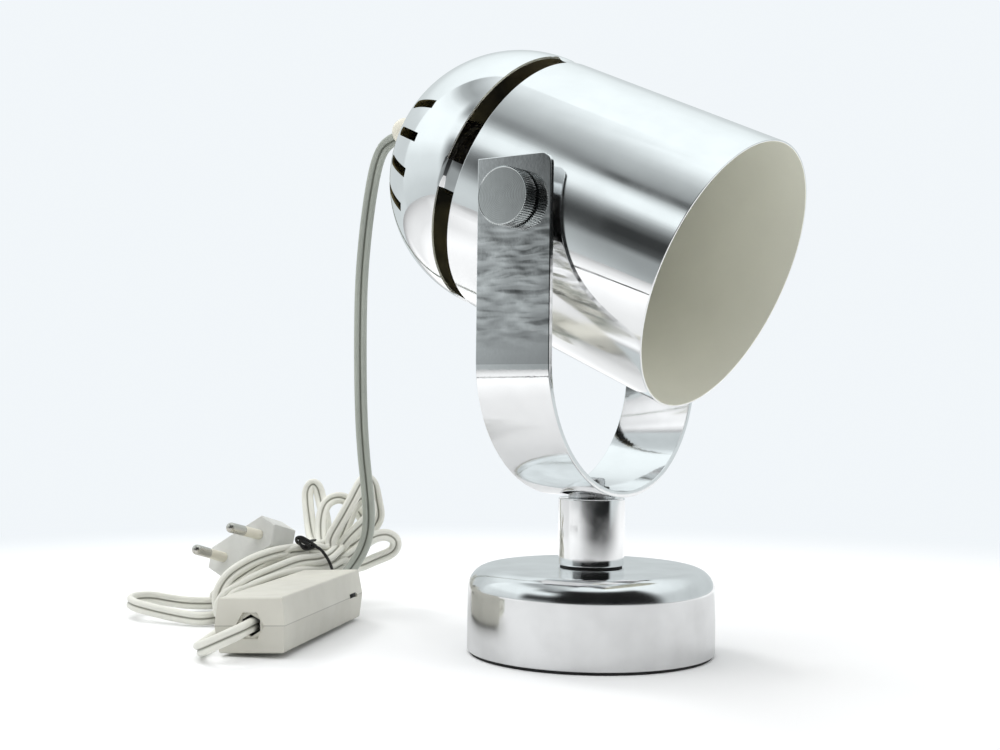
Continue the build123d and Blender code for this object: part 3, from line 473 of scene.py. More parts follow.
def moulded(name, colour, roughness=0.42, grain=1800.0, depth=0.00002, mottle=0.93):
    """Moulded plastic: a fine grain, faint clouding and uneven sheen."""
    colour = tuple(colour)
    finish = new_finish(name, colour, roughness=roughness)
    vary_colour(finish, noise(finish, 60.0, detail=4.0), shaded(colour, mottle), colour)
    vary_roughness(finish, noise(finish, 150.0, detail=3.0), roughness * 0.85, roughness * 1.2)
    relief(finish, noise(finish, grain, detail=2.0), depth, 0.6)
    return finish


# The lying switch's own directions: to its outlet, away from its near side, and down
SWITCH_AXES = (
    (-0.917192, -0.398308, 0.010462),
    (-0.39837, 0.916187, -0.043619),
    (0.007789, -0.044175, -0.998993),
)
PARTING_LINE = (-0.01502, -0.01468)


def switch_shell(name, colour):
    """A moulded shell with painted shade in the parting line."""
    finish = moulded(name, colour, roughness=0.45)
    # Painted shade: the colour is darkened where the two shells meet
    return darkened(finish, (0.7, 0.7, 0.7), within(finish, SWITCH_AXES[2], *PARTING_LINE))


def rough_cast(name, colour):
    """Moulded plastic with the pitted, mottled skin of an old mould."""
    finish = moulded(name, colour, roughness=0.5, grain=700.0, depth=0.00012, mottle=0.86)
    relief(finish, noise(finish, 260.0, detail=3.0), 0.00022, 0.7)
    return finish


# ---- The camera and the studio -------------------------------------------------------------------
CAMERA_PLACE = (-0.40452, -0.23722, 0.08426)
CAMERA_TURN = (91.19008, -0.67985, -55.73411)
CAMERA_LENS = 49.238


def tone(value):
    """A screen value from 0 to 255 as the shaders count it."""
    share = value / 255
    return share / 12.92 if share <= 0.04045 else ((share + 0.055) / 1.055) ** 2.4


# What the studio holds round the lamp, as chrome shows it: tones by height in degrees over the horizon
PAPER_BACKDROP = [
    (-30, 224), (-12, 218), (-3, 210), (5, 204), (20, 206), (30, 214), (38, 234), (52, 247), (65, 252),
    (90, 255),
]
LIT_SIDE_WALL = [
    (-30, 190), (-20, 206), (-8, 200), (0, 208), (8, 222), (16, 226), (25, 250), (42, 255), (50, 243),
    (57, 178), (62, 162), (69, 190), (77, 224), (85, 252), (90, 255),
]
LEFT_NEAR = [
    (-30, 205), (-12, 165), (-4, 150), (0, 152), (4.5, 150), (8.5, 80), (13, 55), (18, 56), (22.5, 105),
    (27, 165), (30, 215), (33, 240), (39, 245), (43, 222), (47, 165), (51, 132), (54, 138), (58, 160),
    (64, 180), (69, 198), (75, 228), (80, 250), (90, 255),
]
LEFT_SIDE = [
    (-30, 205), (-12, 165), (-4, 140), (0, 142), (4, 122), (8.5, 80), (13, 60), (18, 56), (22.5, 105),
    (27, 160), (30, 215), (33, 252), (39, 252), (43, 200), (45.5, 110), (47.5, 74), (49.5, 105), (51.5, 146),
    (57, 170), (63, 184), (69, 210), (75, 240), (80, 253), (90, 255),
]
CAMERA_SIDE = [(-30, 90), (-10, 60), (-4, 30), (10, 20), (45, 24), (57, 34), (62, 205), (66, 252), (90, 255)]
AMBIENT = [(-90, 150), (0, 152), (35, 195), (90, 255)]
# Sides of the studio over the backdrop: tones, then the middle, half width and soft edge in degrees
STUDIO_SIDES = (
    (LIT_SIDE_WALL, 146, 54.5, 0.8),
    (LEFT_NEAR, 170, 26.5, 6),
    (LEFT_SIDE, 190, 31.5, 3),
    (CAMERA_SIDE, 226, 52, 8),
)
# Where polished parts see the floor dark: darkness by distance in metres, then the sector as above. The first
# entry is painted shade on the floor round the foot, which only reflections show. The table ends towards the
# room, and the last entry is the paper's thin edge to the left.
DARK_FLOOR = (
    ([(0.0, 0.26), (0.20, 0.24), (0.30, 0.12), (0.40, 0.0)], 180, 175, 4),
    ([(0.20, 0.0), (0.42, 0.93), (1.0, 0.97)], 238, 55, 45),
    ([(0.50, 0.0), (0.62, 0.22), (1.0, 0.42)], 115, 80, 15),
    ([(0.25, 0.0), (0.42, 0.30), (0.9, 0.42)], 100, 30, 8),
    (
        [(0.464, 0.0), (0.469, 0.95), (0.490, 0.95), (0.494, 0.08), (0.62, 0.2), (0.8, 0.4), (0.9, 0.5)],
        147, 16, 3,
    ),
)


def tone_ramp(tree, height, tones):
    """Tones over the height of a direction, from straight down at 0 to straight up at 1."""
    return ramp(tree, height, [((degrees + 90) / 180, tone(value)) for degrees, value in tones])


def sector(tree, direction, centre, half, soft):
    """How far a direction lies inside a sector: its middle, half width and soft edge in degrees."""
    parts = []
    for turn in (math.radians(centre + 90), math.radians(centre)):
        parts.append(reach_along(tree, direction, (math.cos(turn), math.sin(turn), 0)))
    away = calculated(tree, "ABSOLUTE", calculated(tree, "ARCTAN2", *parts))
    return remap(tree, away, math.radians(half + soft), math.radians(half - soft), curve="SMOOTHSTEP")


class SEARCHLIGHT_OT_camera(bpy.types.Operator):
    """Places the camera"""

    bl_idname = "searchlight.camera"
    bl_label = "Camera"

    def execute(self, context):
        lens = bpy.data.cameras.new("camera")
        lens.lens = CAMERA_LENS
        lens.sensor_width = 36.0
        lens.clip_start = 0.01
        camera = bpy.data.objects.new("camera", lens)
        camera.location = CAMERA_PLACE
        camera.rotation_euler = Euler([math.radians(angle) for angle in CAMERA_TURN], "XYZ")
        context.scene.collection.objects.link(camera)
        context.scene.camera = camera
        return {"FINISHED"}


class SEARCHLIGHT_OT_studio(bpy.types.Operator):
    """Builds the pale floor, the studio round it and the soft lamps"""

    bl_idname = "searchlight.studio"
    bl_label = "Studio"

    def execute(self, context):
        scene = context.scene
        scene.view_settings.view_transform = "Standard"
        self.add_world(scene)
        self.add_floor()
        self.add_lamp("top_box", (-0.25, 0.1, 1.1), (0, 0.05, 0.05), (1.3, 1.3), 6.5)
        self.add_lamp("back_box", (0.25, 0.85, 0.72), (-0.03, 0.1, 0.0), (0.35, 0.35), 3.6)
        self.add_lamp("left_box", (-0.9, 0.75, 0.75), (0, 0.05, 0.08), (0.9, 0.9), 1.5)
        self.add_lamp("front_box", (0.45, -1.15, 0.7), (0, 0, 0.08), (0.9, 0.9), 4.4)
        return {"FINISHED"}

    def add_world(self, scene):
        world = bpy.data.worlds.new("studio")
        scene.world = world
        world.use_nodes = True
        tree = world.node_tree
        tree.nodes.clear()
        rays = node(tree, "LightPath").outputs
        direction = node(tree, "TexCoord").outputs["Generated"]
        rise = calculated(tree, "ARCSINE", node(tree, "SeparateXYZ", {0: direction}).outputs["Z"])
        height = remap(tree, rise, -math.pi / 2, math.pi / 2)

        seen = tone_ramp(tree, height, PAPER_BACKDROP)
        for tones, *place in STUDIO_SIDES:
            seen = mixed(tree, sector(tree, direction, *place), seen, tone_ramp(tree, height, tones))
        tinted = mixed(tree, 1.0, seen, (0.91, 0.985, 1.0, 1), "MULTIPLY")
        studio = node(tree, "Background", {"Color": tinted, "Strength": 1.12}).outputs[0]
        ambient = node(tree, "Background", {"Color": tone_ramp(tree, height, AMBIENT)}).outputs[0]
        backdrop = node(tree, "Background", {"Color": (*colours().backdrop, 1)}).outputs[0]

        through = gathered(tree, "MAXIMUM", rays["Is Glossy Ray"], rays["Is Transmission Ray"])
        reflected = layered(tree, through, ambient, studio)
        node(tree, "OutputWorld", {"Surface": layered(tree, rays["Is Camera Ray"], reflected, backdrop)})

    def add_floor(self):
        """A round sheet that fades into the backdrop towards its rim"""
        bm = bmesh.new()
        bmesh.ops.create_circle(bm, cap_ends=True, segments=128, radius=1.02)
        bmesh.ops.translate(bm, verts=bm.verts, vec=(0.25, 0.45, 0))
        colour = tuple(colours().floor)
        finish = new_finish("floor_paper", colour, roughness=0.9)
        shader = shader_of(finish)
        shader.inputs["Specular IOR Level"].default_value = 0.2
        vary_colour(finish, noise(finish, 3.0, detail=1.0), shaded(colour, 0.985), colour)
        tree = finish.node_tree
        rays = node(tree, "LightPath").outputs
        spot = own_place(tree)
        away = node(tree, "VectorMath", {0: spot}, operation="LENGTH").outputs["Value"]
        fade = remap(tree, away, 0.22, 0.5, curve="SMOOTHSTEP")
        plain = node(tree, "Emission", {"Color": (*colours().backdrop, 1)}).outputs[0]
        share = calculated(tree, "MULTIPLY", fade, rays["Is Camera Ray"])
        paper = layered(tree, share, shader.outputs["BSDF"], plain)
        ends = []
        for stops, *place in DARK_FLOOR:
            ends.append(calculated(tree, "MULTIPLY", ramp(tree, away, stops), sector(tree, spot, *place)))
        seen = calculated(tree, "MULTIPLY", gathered(tree, "MAXIMUM", *ends), rays["Is Glossy Ray"])
        dark = node(tree, "Emission", {"Color": (0.004, 0.005, 0.005, 1)}).outputs[0]
        surface = tree.nodes["Material Output"].inputs["Surface"]
        tree.links.new(layered(tree, seen, paper, dark), surface)
        make_object("floor", bm, finish)

    def add_lamp(self, name, place, target, size, power):
        light = bpy.data.lights.new(name, "AREA")
        light.shape = "RECTANGLE"
        light.size, light.size_y = size
        light.energy = power
        holder = bpy.data.objects.new(name, light)
        holder.location = place
        holder.rotation_euler = (Vector(target) - Vector(place)).to_track_quat("-Z", "Y").to_euler()
        holder.visible_glossy = False
        bpy.context.scene.collection.objects.link(holder)


# ---- Cords ---------------------------------------------------------------------------------------
LAMP_LEAD_ROUTE = [
    (0.0, 86.958, 184.839), (0.0, 91.9, 183.0), (0.3, 95.7, 179.0), (1.0, 98.7, 172.6), (2.1, 101.9, 162.0),
    (3.3, 105.0, 148.0), (4.7, 107.7, 131.0), (6.9, 109.7, 112.0), (9.6, 111.6, 94.5), (12.6, 113.4, 78.5),
    (16.0, 114.9, 64.0), (19.6, 115.9, 51.0), (22.6, 117.0, 40.0), (24.2, 118.6, 31.0), (23.4, 121.2, 23.2),
    (19.2, 123.4, 16.6), (12.4, 123.2, 11.9), (1.135, 117.18, 9.69), (-5.285, 114.392, 9.764),
]
# Out of the switch, through the tied hank and into the plug
MAINS_LEAD_ROUTE = [
    # The tail leaves the switch and lies down behind it
    (-73.158, 84.917, 10.538), (-79.578, 82.129, 10.611), (-86.0, 79.3, 10.2), (-92.6, 80.6, 8.3),
    (-95.3, 86.2, 5.4), (-91.8, 93.2, 3.3), (-83.5, 99.4, 2.7), (-73.0, 106.5, 2.6), (-62.0, 113.0, 2.6),
    (-47.0, 120.0, 2.6), (-29.0, 125.6, 2.9), (-13.0, 128.4, 5.8), (-1.0, 130.5, 11.5),
    # Low right-hand loop
    (10.0, 131.0, 16.4), (19.0, 129.8, 18.4), (27.2, 127.4, 22.6), (32.8, 124.8, 28.1), (41.2, 123.1, 29.5),
    (47.0, 121.9, 26.4), (47.2, 123.5, 21.3), (40.7, 127.9, 18.6), (30.6, 130.2, 15.6),
    # Left-hand turn along the table, lowest pass
    (21.8, 128.6, 19.5), (11.5, 127.7, 15.8), (1.9, 133.3, 16.8), (-12.8, 131.8, 16.0),
    (-27.4, 130.3, 14.2), (-32.5, 130.1, 12.8), (-39.6, 130.9, 11.6), (-41.8, 131.2, 6.4),
    (-38.4, 130.0, 2.8), (-30.0, 128.8, 2.8), (-22.0, 129.6, 3.2), (-10.0, 131.6, 6.8), (2.0, 133.0, 13.0),
    # Right-hand turn, leaning out
    (12.2, 133.0, 15.9), (20.2, 133.5, 20.1), (24.2, 130.4, 27.6), (29.4, 127.9, 32.7), (35.0, 126.7, 36.5),
    (38.1, 128.9, 42.1), (37.8, 133.0, 44.4), (35.7, 136.1, 41.0), (31.0, 136.3, 32.5), (24.7, 135.1, 25.2),
    # Left-hand turn, middle pass
    (19.7, 129.9, 24.7), (9.4, 128.4, 21.0), (1.1, 134.3, 21.2), (-13.0, 133.8, 18.6), (-26.9, 133.0, 16.2),
    (-34.6, 131.6, 14.0), (-41.4, 132.4, 12.0), (-43.8, 133.6, 6.6), (-40.0, 133.4, 2.8),
    (-35.0, 132.2, 2.8), (-22.0, 133.0, 3.8), (-9.0, 133.6, 8.8), (3.0, 134.0, 15.0),
    # Right-hand turn, tallest
    (10.4, 131.7, 20.6), (17.5, 132.7, 24.4), (18.2, 133.8, 28.2), (23.1, 131.7, 36.2), (27.9, 129.6, 45.0),
    (33.9, 129.4, 53.0), (39.9, 129.5, 51.1), (44.2, 130.7, 42.1), (45.9, 130.3, 35.2), (41.3, 131.9, 29.6),
    (31.8, 133.6, 24.3),
    # Left-hand turn, uppermost arch
    (21.4, 134.6, 22.2), (9.8, 131.8, 25.0), (7.7, 138.8, 24.7), (-4.7, 139.1, 24.9), (-18.5, 138.2, 23.4),
    (-30.2, 135.8, 21.2), (-38.6, 135.1, 17.6), (-42.4, 135.4, 11.4), (-39.8, 136.1, 4.4),
    (-34.0, 136.2, 3.0), (-20.0, 135.6, 4.4), (-6.0, 135.6, 11.0),
    # Right-hand turn, broad and upright
    (10.4, 135.3, 20.1), (15.9, 136.0, 25.1), (19.9, 140.2, 28.5), (25.0, 144.8, 35.7), (29.8, 146.5, 42.0),
    (36.1, 144.2, 44.3), (40.8, 141.0, 40.9), (43.6, 137.2, 34.6), (42.2, 134.2, 27.7), (32.2, 134.9, 20.1),
    # Long flat turn on the table
    (21.1, 137.3, 20.0), (9.6, 135.4, 16.5), (-10.0, 138.2, 11.5), (-24.0, 138.6, 5.4), (-37.0, 138.8, 3.0),
    (-45.2, 140.8, 2.7), (-46.8, 149.2, 3.2), (-48.1, 158.7, 4.0), (-49.2, 167.5, 5.0), (-50.2, 171.8, 5.8),
    (-46.4, 179.4, 6.1), (-38.6, 184.4, 6.1), (-31.9, 182.0, 5.8), (-28.3, 176.2, 4.6), (-22.1, 171.5, 3.3),
    (-14.0, 165.0, 2.9), (-4.0, 155.0, 4.5), (2.0, 145.0, 10.0),
    # Right-hand turn standing behind
    (9.9, 137.8, 21.0), (15.6, 138.8, 25.5), (23.9, 148.6, 25.2), (30.7, 156.0, 32.4), (34.5, 161.0, 41.0),
    (35.7, 162.3, 45.8), (37.5, 161.3, 48.9), (38.7, 158.9, 47.6), (38.0, 156.4, 41.6), (33.2, 149.4, 33.6),
    (24.4, 140.8, 25.7),
    # Left-hand turn under the plug
    (18.4, 137.2, 26.9), (7.6, 135.1, 24.7), (-3.0, 139.5, 24.0), (-14.0, 142.5, 20.0),
    (-22.0, 147.5, 14.0), (-24.5, 154.0, 8.6), (-19.0, 161.5, 5.6), (-9.0, 166.5, 5.4), (3.0, 169.0, 5.6),
    (15.0, 171.0, 5.4),
    # Up into the plug
    (28.0, 172.5, 5.8), (39.5, 171.0, 7.6), (45.5, 166.3, 10.4), (42.5, 162.2, 13.4), (35.7, 161.5, 15.6),
    (29.0, 160.8, 16.1), (22.6, 160.1, 17.8),
]
FLAT_SIDE_FACES = Vector((0.826, 0.563, 0.02))


def smooth_route(points, resolution=8):
    """The points of one smooth open spline that has the route's points as its control points."""
    curve = bpy.data.curves.new("route", "CURVE")
    curve.dimensions = "3D"
    curve.resolution_u = resolution
    spline = curve.splines.new("NURBS")
    spline.points.add(len(points) - 1)
    for control, place in zip(spline.points, points):
        control.co = (*(Vector(place) * MM), 1)
    spline.order_u = 3
    spline.use_endpoint_u = True
    holder = bpy.data.objects.new("route", curve)
    bpy.context.scene.collection.objects.link(holder)
    bpy.context.view_layer.update()
    mesh = bpy.data.meshes.new_from_object(holder.evaluated_get(bpy.context.evaluated_depsgraph_get()))
    line = [vertex.co.copy() for vertex in mesh.vertices]
    bpy.data.meshes.remove(mesh)
    bpy.data.curves.remove(curve)
    return line


def route_matrices(line, across, facing=None):
    """One matrix for each point of the line: Z along it and X across, turned so a flat side faces one way."""
    matrices = []
    across = Vector(across)
    last = len(line) - 1
    for index, place in enumerate(line):
        ahead = (line[min(index + 1, last)] - line[max(index - 1, 0)]).normalized()
        across = (across - ahead * across.dot(ahead)).normalized()
        wanted = Vector((0, 0, 0)) if facing is None else facing.cross(ahead)
        if wanted.length > 0.2:
            share = 0.25 * min(1.0, wanted.length)
            if wanted.dot(across) < 0:
                wanted.negate()
            across = across.lerp(wanted.normalized(), share)
        matrices.append(towards(ahead, place, across))
    return matrices


def flex_tube(bm, matrices, width):
    """Sweeps the twin flex's figure of eight through the matrices."""
    core = width * 0.26
    apart = width / 2 - core
    lobes = bm.verts.layers.float.new("lobe")
    ring = bmesh.ops.create_circle(bm, cap_ends=False, segments=32, radius=1.0)["verts"]
    for vertex in ring:
        angle = math.atan2(vertex.co.y, vertex.co.x)
        reach = apart * abs(math.cos(angle)) + math.sqrt(core**2 - (apart * math.sin(angle)) ** 2)
        vertex[lobes] = min(1.0, 1.6 * abs(math.cos(angle)) * reach / core)
        vertex.co = Vector((math.cos(angle), math.sin(angle), 0)) * reach
    sweep(bm, ring, matrices)
    bmesh.ops.recalc_face_normals(bm, faces=bm.faces)


def flex_finish(name, tint):
    """Soft vinyl with a dull gloss and faint ripples along it, with painted shade in the groove between its
    cores.
    """
    finish = moulded(name, tint, roughness=0.36, grain=1100.0, depth=0.00003, mottle=0.9)
    relief(finish, noise(finish, 160.0, detail=2.0), 0.00012, 0.5)
    tree = finish.node_tree
    lobe = node(tree, "Attribute", attribute_name="lobe").outputs["Fac"]
    # Painted shade: the colour darkens towards the groove between the cores
    return darkened(finish, (0.34, 0.34, 0.31), remap(tree, lobe, 0.0, 0.75, 1.0, 0.0))


class SEARCHLIGHT_OT_lamp_lead(bpy.types.Operator):
    """Hangs the twin flex from the head's cord grip down to the inline switch"""

    bl_idname = "searchlight.lamp_lead"
    bl_label = "Lamp lead"

    def execute(self, context):
        line = smooth_route(LAMP_LEAD_ROUTE)
        bm = bmesh.new()
        flex_tube(bm, route_matrices(line, SIDE, FLAT_SIDE_FACES), sizes().cord_width)
        lead = make_object("lamp_flex", bm, flex_finish("lamp_flex_vinyl_painted_shade", colours().lamp_flex))
        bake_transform(lead)
        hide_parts("lamp_lead")
        return {"FINISHED"}


BUSH_RADIUS = 0.0058
BUSH_RIM = 0.00185
BUSH_DEPTH = 0.0012
BUSH_FROM_INLET = 0.0057
# The box of the painted notch shade and its middle along the switch's own directions
NOTCH_SHADE_SIZE = (0.0068, 0.0004, 0.0015)
NOTCH_SHADE_PLACE = Vector((-0.03495, 0.09443, -0.0153))


class SEARCHLIGHT_OT_mains_lead(bpy.types.Operator):
    """Lays the mains flex from the switch through the tied hank to the plug"""

    bl_idname = "searchlight.mains_lead"
    bl_label = "Mains lead and hank"

    def execute(self, context):
        line = smooth_route(MAINS_LEAD_ROUTE)
        bm = bmesh.new()
        flex_tube(bm, route_matrices(line, UP, FLAT_SIDE_FACES), sizes().cord_width)
        lead = fit(
            make_object("mains_flex", bm, flex_finish("mains_flex_vinyl", colours().flex)),
            "yoke",
            ["tail_lead", "cord_hank", "plug_lead"],
        )
        # A six-sided bush narrows the switch's cord hole to the flex
        bm = bmesh.new()
        bmesh.ops.create_circle(bm, cap_ends=True, segments=6, radius=BUSH_RADIUS)
        hole = bmesh.ops.inset_region(
            bm, faces=list(bm.faces), thickness=BUSH_RIM, use_boundary=True, use_even_offset=True
        )
        bmesh.ops.delete(bm, geom=[face for face in bm.faces if face not in hole["faces"]], context="FACES")
        bmesh.ops.recalc_face_normals(bm, faces=bm.faces)
        bmesh.ops.solidify(bm, geom=list(bm.faces), thickness=BUSH_DEPTH)
        inlet = Vector(MAINS_LEAD_ROUTE[0]) * MM
        outwards = Vector(SWITCH_AXES[0])
        place = towards(outwards, inlet + outwards * BUSH_FROM_INLET, SWITCH_AXES[1])
        bmesh.ops.transform(bm, matrix=place, verts=bm.verts)
        bush = make_object("cord_bush", bm, moulded("bush_plastic", colours().switch, roughness=0.5))
        fit(bush, "yoke")
        # Painted shade: a near-black block stands in the notch over the shells' parting line, near the rear
        # end
        bm = bmesh.new()
        bmesh.ops.create_cube(bm, size=1.0)
        bmesh.ops.scale(bm, verts=bm.verts, vec=NOTCH_SHADE_SIZE)
        turn = Matrix(SWITCH_AXES).transposed()
        place = Matrix.Translation(turn @ NOTCH_SHADE_PLACE) @ turn.to_4x4()
        bmesh.ops.transform(bm, matrix=place, verts=bm.verts)
        slot = make_object("notch_shade_block", bm, moulded("notch_painted_shade", (0.006, 0.006, 0.006), roughness=0.8))
        fit(slot, "yoke")
        return {"FINISHED"}


# ---- Foot and stem -------------------------------------------------------------------------------
BOLT_BORE = 0.00255
COVER_BOTTOM = 0.001
COVER_WALL = 0.0014
GASKET_THICKNESS = 0.0005


class SEARCHLIGHT_OT_foot(bpy.types.Operator):
    """Draws the foot's chrome cover and the stem"""

    bl_idname = "searchlight.foot"
    bl_label = "Foot and stem"

    def execute(self, context):
        s = sizes()
        radius = s.base_diameter / 2
        inside = radius - COVER_WALL
        ceiling = s.base_height - COVER_WALL
        bm = bmesh.new()
        profile = outline(
            bm,
            [
                (BOLT_BORE, s.base_height),
                (radius, s.base_height),
                (radius, COVER_BOTTOM),
                (inside, COVER_BOTTOM),
                (inside, ceiling),
                (BOLT_BORE, ceiling),
            ],
            closed=True,
        )
        bm.faces.new([item for item in profile if isinstance(item, bmesh.types.BMVert)])
        for across, place, rounding in (
            (radius, s.base_height, s.base_shoulder),
            (radius, COVER_BOTTOM, 0.0004),
            (inside, ceiling, s.base_shoulder - COVER_WALL),
        ):
            corner = min(bm.verts, key=lambda item: (item.co - Vector((across, 0, place))).length)
            bmesh.ops.bevel(
                bm,
                geom=[corner],
                offset=rounding,
                offset_type="OFFSET",
                segments=14,
                profile=0.5,
                affect="VERTICES",
                material=-1,
            )
        bmesh.ops.delete(bm, geom=list(bm.faces), context="FACES_ONLY")
        turn(bm, list(bm.verts) + list(bm.edges), 160)
        finish = chrome("chrome_foot", low=0.05, high=0.17)
        tint = tuple(colours().chrome)
        vary_colour(finish, noise(finish, 65.0, detail=4.0), shaded(tint, 0.82), shaded(tint, 0.95))
        cover = make_object("foot_cover", bm, finish)
        even_shading(fit(cover, "base", ["base_cover"]))

        bm = bmesh.new()
        bottom = s.base_height + GASKET_THICKNESS
        wide = s.stem_diameter / 2
        corners = [(BOLT_BORE, bottom), (wide, bottom), (wide, s.stem_top), (BOLT_BORE, s.stem_top)]
        turn(bm, outline(bm, corners, closed=True), 96)
        for height in (bottom, s.stem_top):
            soften(bm, ring_edges(bm, wide, height), 0.0006, 4)
        stem = make_object("stem_tube", bm, chrome("chrome_stem", smear_scale=120.0, low=0.03, high=0.14))
        even_shading(fit(stem, "base", ["stem"]))
        return {"FINISHED"}


# ---- Yoke ----------------------------------------------------------------------------------------
YOKE_BOTTOM = 0.0532
YOKE_BEND_TOP = 0.098
YOKE_TOP = 0.162
YOKE_ARM_STEPS = 6


class SEARCHLIGHT_OT_yoke(bpy.types.Operator):
    """Bends the flat strap to the yoke's U"""

    bl_idname = "searchlight.yoke"
    bl_label = "Yoke"

    def execute(self, context):
        s = sizes()
        half = s.yoke_width / 2
        bm = bmesh.new()
        front = bm.verts.new((-1, -half, 0))
        back = bm.verts.new((-1, half, 0))
        strip = bm.edges.new((front, back))
        bmesh.ops.spin(
            bm,
            geom=[front, back, strip],
            cent=(0, 0, 0),
            axis=(0, -1, 0),
            angle=math.pi,
            steps=72,
        )
        reach = Matrix.Diagonal((s.yoke_span / 2, 1, YOKE_BEND_TOP - YOKE_BOTTOM, 1))
        bmesh.ops.transform(bm, matrix=reach, verts=bm.verts)
        ends = [e for e in bm.edges if e.is_boundary and all(abs(v.co.z) < 1e-6 for v in e.verts)]
        for _ in range(YOKE_ARM_STEPS):
            lift, ends = extruded(bm, ends)
            bmesh.ops.translate(bm, verts=lift, vec=(0, 0, (YOKE_TOP - YOKE_BEND_TOP) / YOKE_ARM_STEPS))
        bmesh.ops.translate(bm, verts=bm.verts, vec=(0, 0, YOKE_BEND_TOP))
        bmesh.ops.recalc_face_normals(bm, faces=bm.faces)
        # The faces lead away from the middle, so the wall is added inwards
        if sum(face.normal.x * face.calc_center_median().x for face in bm.faces) < 0:
            bmesh.ops.reverse_faces(bm, faces=bm.faces)
        bmesh.ops.solidify(bm, geom=list(bm.faces), thickness=s.yoke_thickness)
        bmesh.ops.recalc_face_normals(bm, faces=bm.faces)
        corners = [
            e
            for e in bm.edges
            if all(v.co.z > YOKE_TOP - 0.0001 and v.co.y < -half + 0.0001 for v in e.verts)
        ]
        soften(bm, corners, 0.0036, 8)
        yoke = make_object("yoke_strap", bm, rolled_chrome("chrome_yoke"))
        fit(yoke, "yoke", ["yoke_bracket"])
        rounding = yoke.modifiers.new("Worn edges", "BEVEL")
        rounding.width = 0.0003
        rounding.segments = 3
        rounding.limit_method = "ANGLE"
        rounding.angle_limit = math.radians(50)
        settle(yoke)
        even_shading(yoke)
        return {"FINISHED"}


# ---- Head ----------------------------------------------------------------------------------------
class SEARCHLIGHT_OT_shade(bpy.types.Operator):
    """Rolls the shade's tube"""

    bl_idname = "searchlight.shade"
    bl_label = "Shade"

    def execute(self, context):
        s = sizes()
        radius = s.head_diameter / 2
        bm = bmesh.new()
        profile = outline(
            bm,
            [
                (radius, -s.shade_rear),
                (radius, s.shade_front),
                (radius - s.head_wall, s.shade_front),
                (radius - s.head_wall, -s.shade_rear),
            ],
            closed=True,
        )
        turn(bm, profile, 192)
        for height in (s.shade_front, -s.shade_rear):
            for reach in (radius, radius - s.head_wall):
                soften(bm, ring_edges(bm, reach, height), s.head_wall * 0.3, 2)
        for face in bm.faces:
            middle = face.calc_center_median()
            face.material_index = 1 if math.hypot(middle.x, middle.y) < radius - s.head_wall * 0.8 else 0
        bmesh.ops.transform(bm, matrix=head_matrix(), verts=bm.verts)
        finish = chrome("chrome_shade", smear_scale=38.0, low=0.02, high=0.14)
        # Faint lengthwise streaks, left by the polishing
        streaks = noise(finish, 1.0, detail=3.0, stretch=(420, 9, 420), tilt=-s.head_tilt)
        relief(finish, streaks, 0.000006)
        shade = make_object("shade_body", bm, finish)
        enamel = colours().enamel
        shade.data.materials.append(
            moulded("shade_enamel", enamel, roughness=0.55, grain=700.0, depth=0.00003, mottle=0.97)
        )
        even_shading(fit(shade, "head", ["shade_tube"]))
        return {"FINISHED"}


DOME_COLLAR = 0.001
CORD_HOLE_RADIUS = 0.00405
# Turn of the tabs and of the slot groups about the head's axis, in degrees
TAB_TURN = 3
# Each step of a tab: along the head and inwards
TAB_STEPS = ((0.0008, 0.0002), (0.0008, 0.00045), (0.0008, 0.0002), (0.0126, 0.0))
SLOTS_IN_GROUP = 4
SLOT_PITCH = 16.8
SLOT_FRONT = -0.0507
SLOT_LENGTH = 0.0146
SLOT_WIDTH = 0.0032


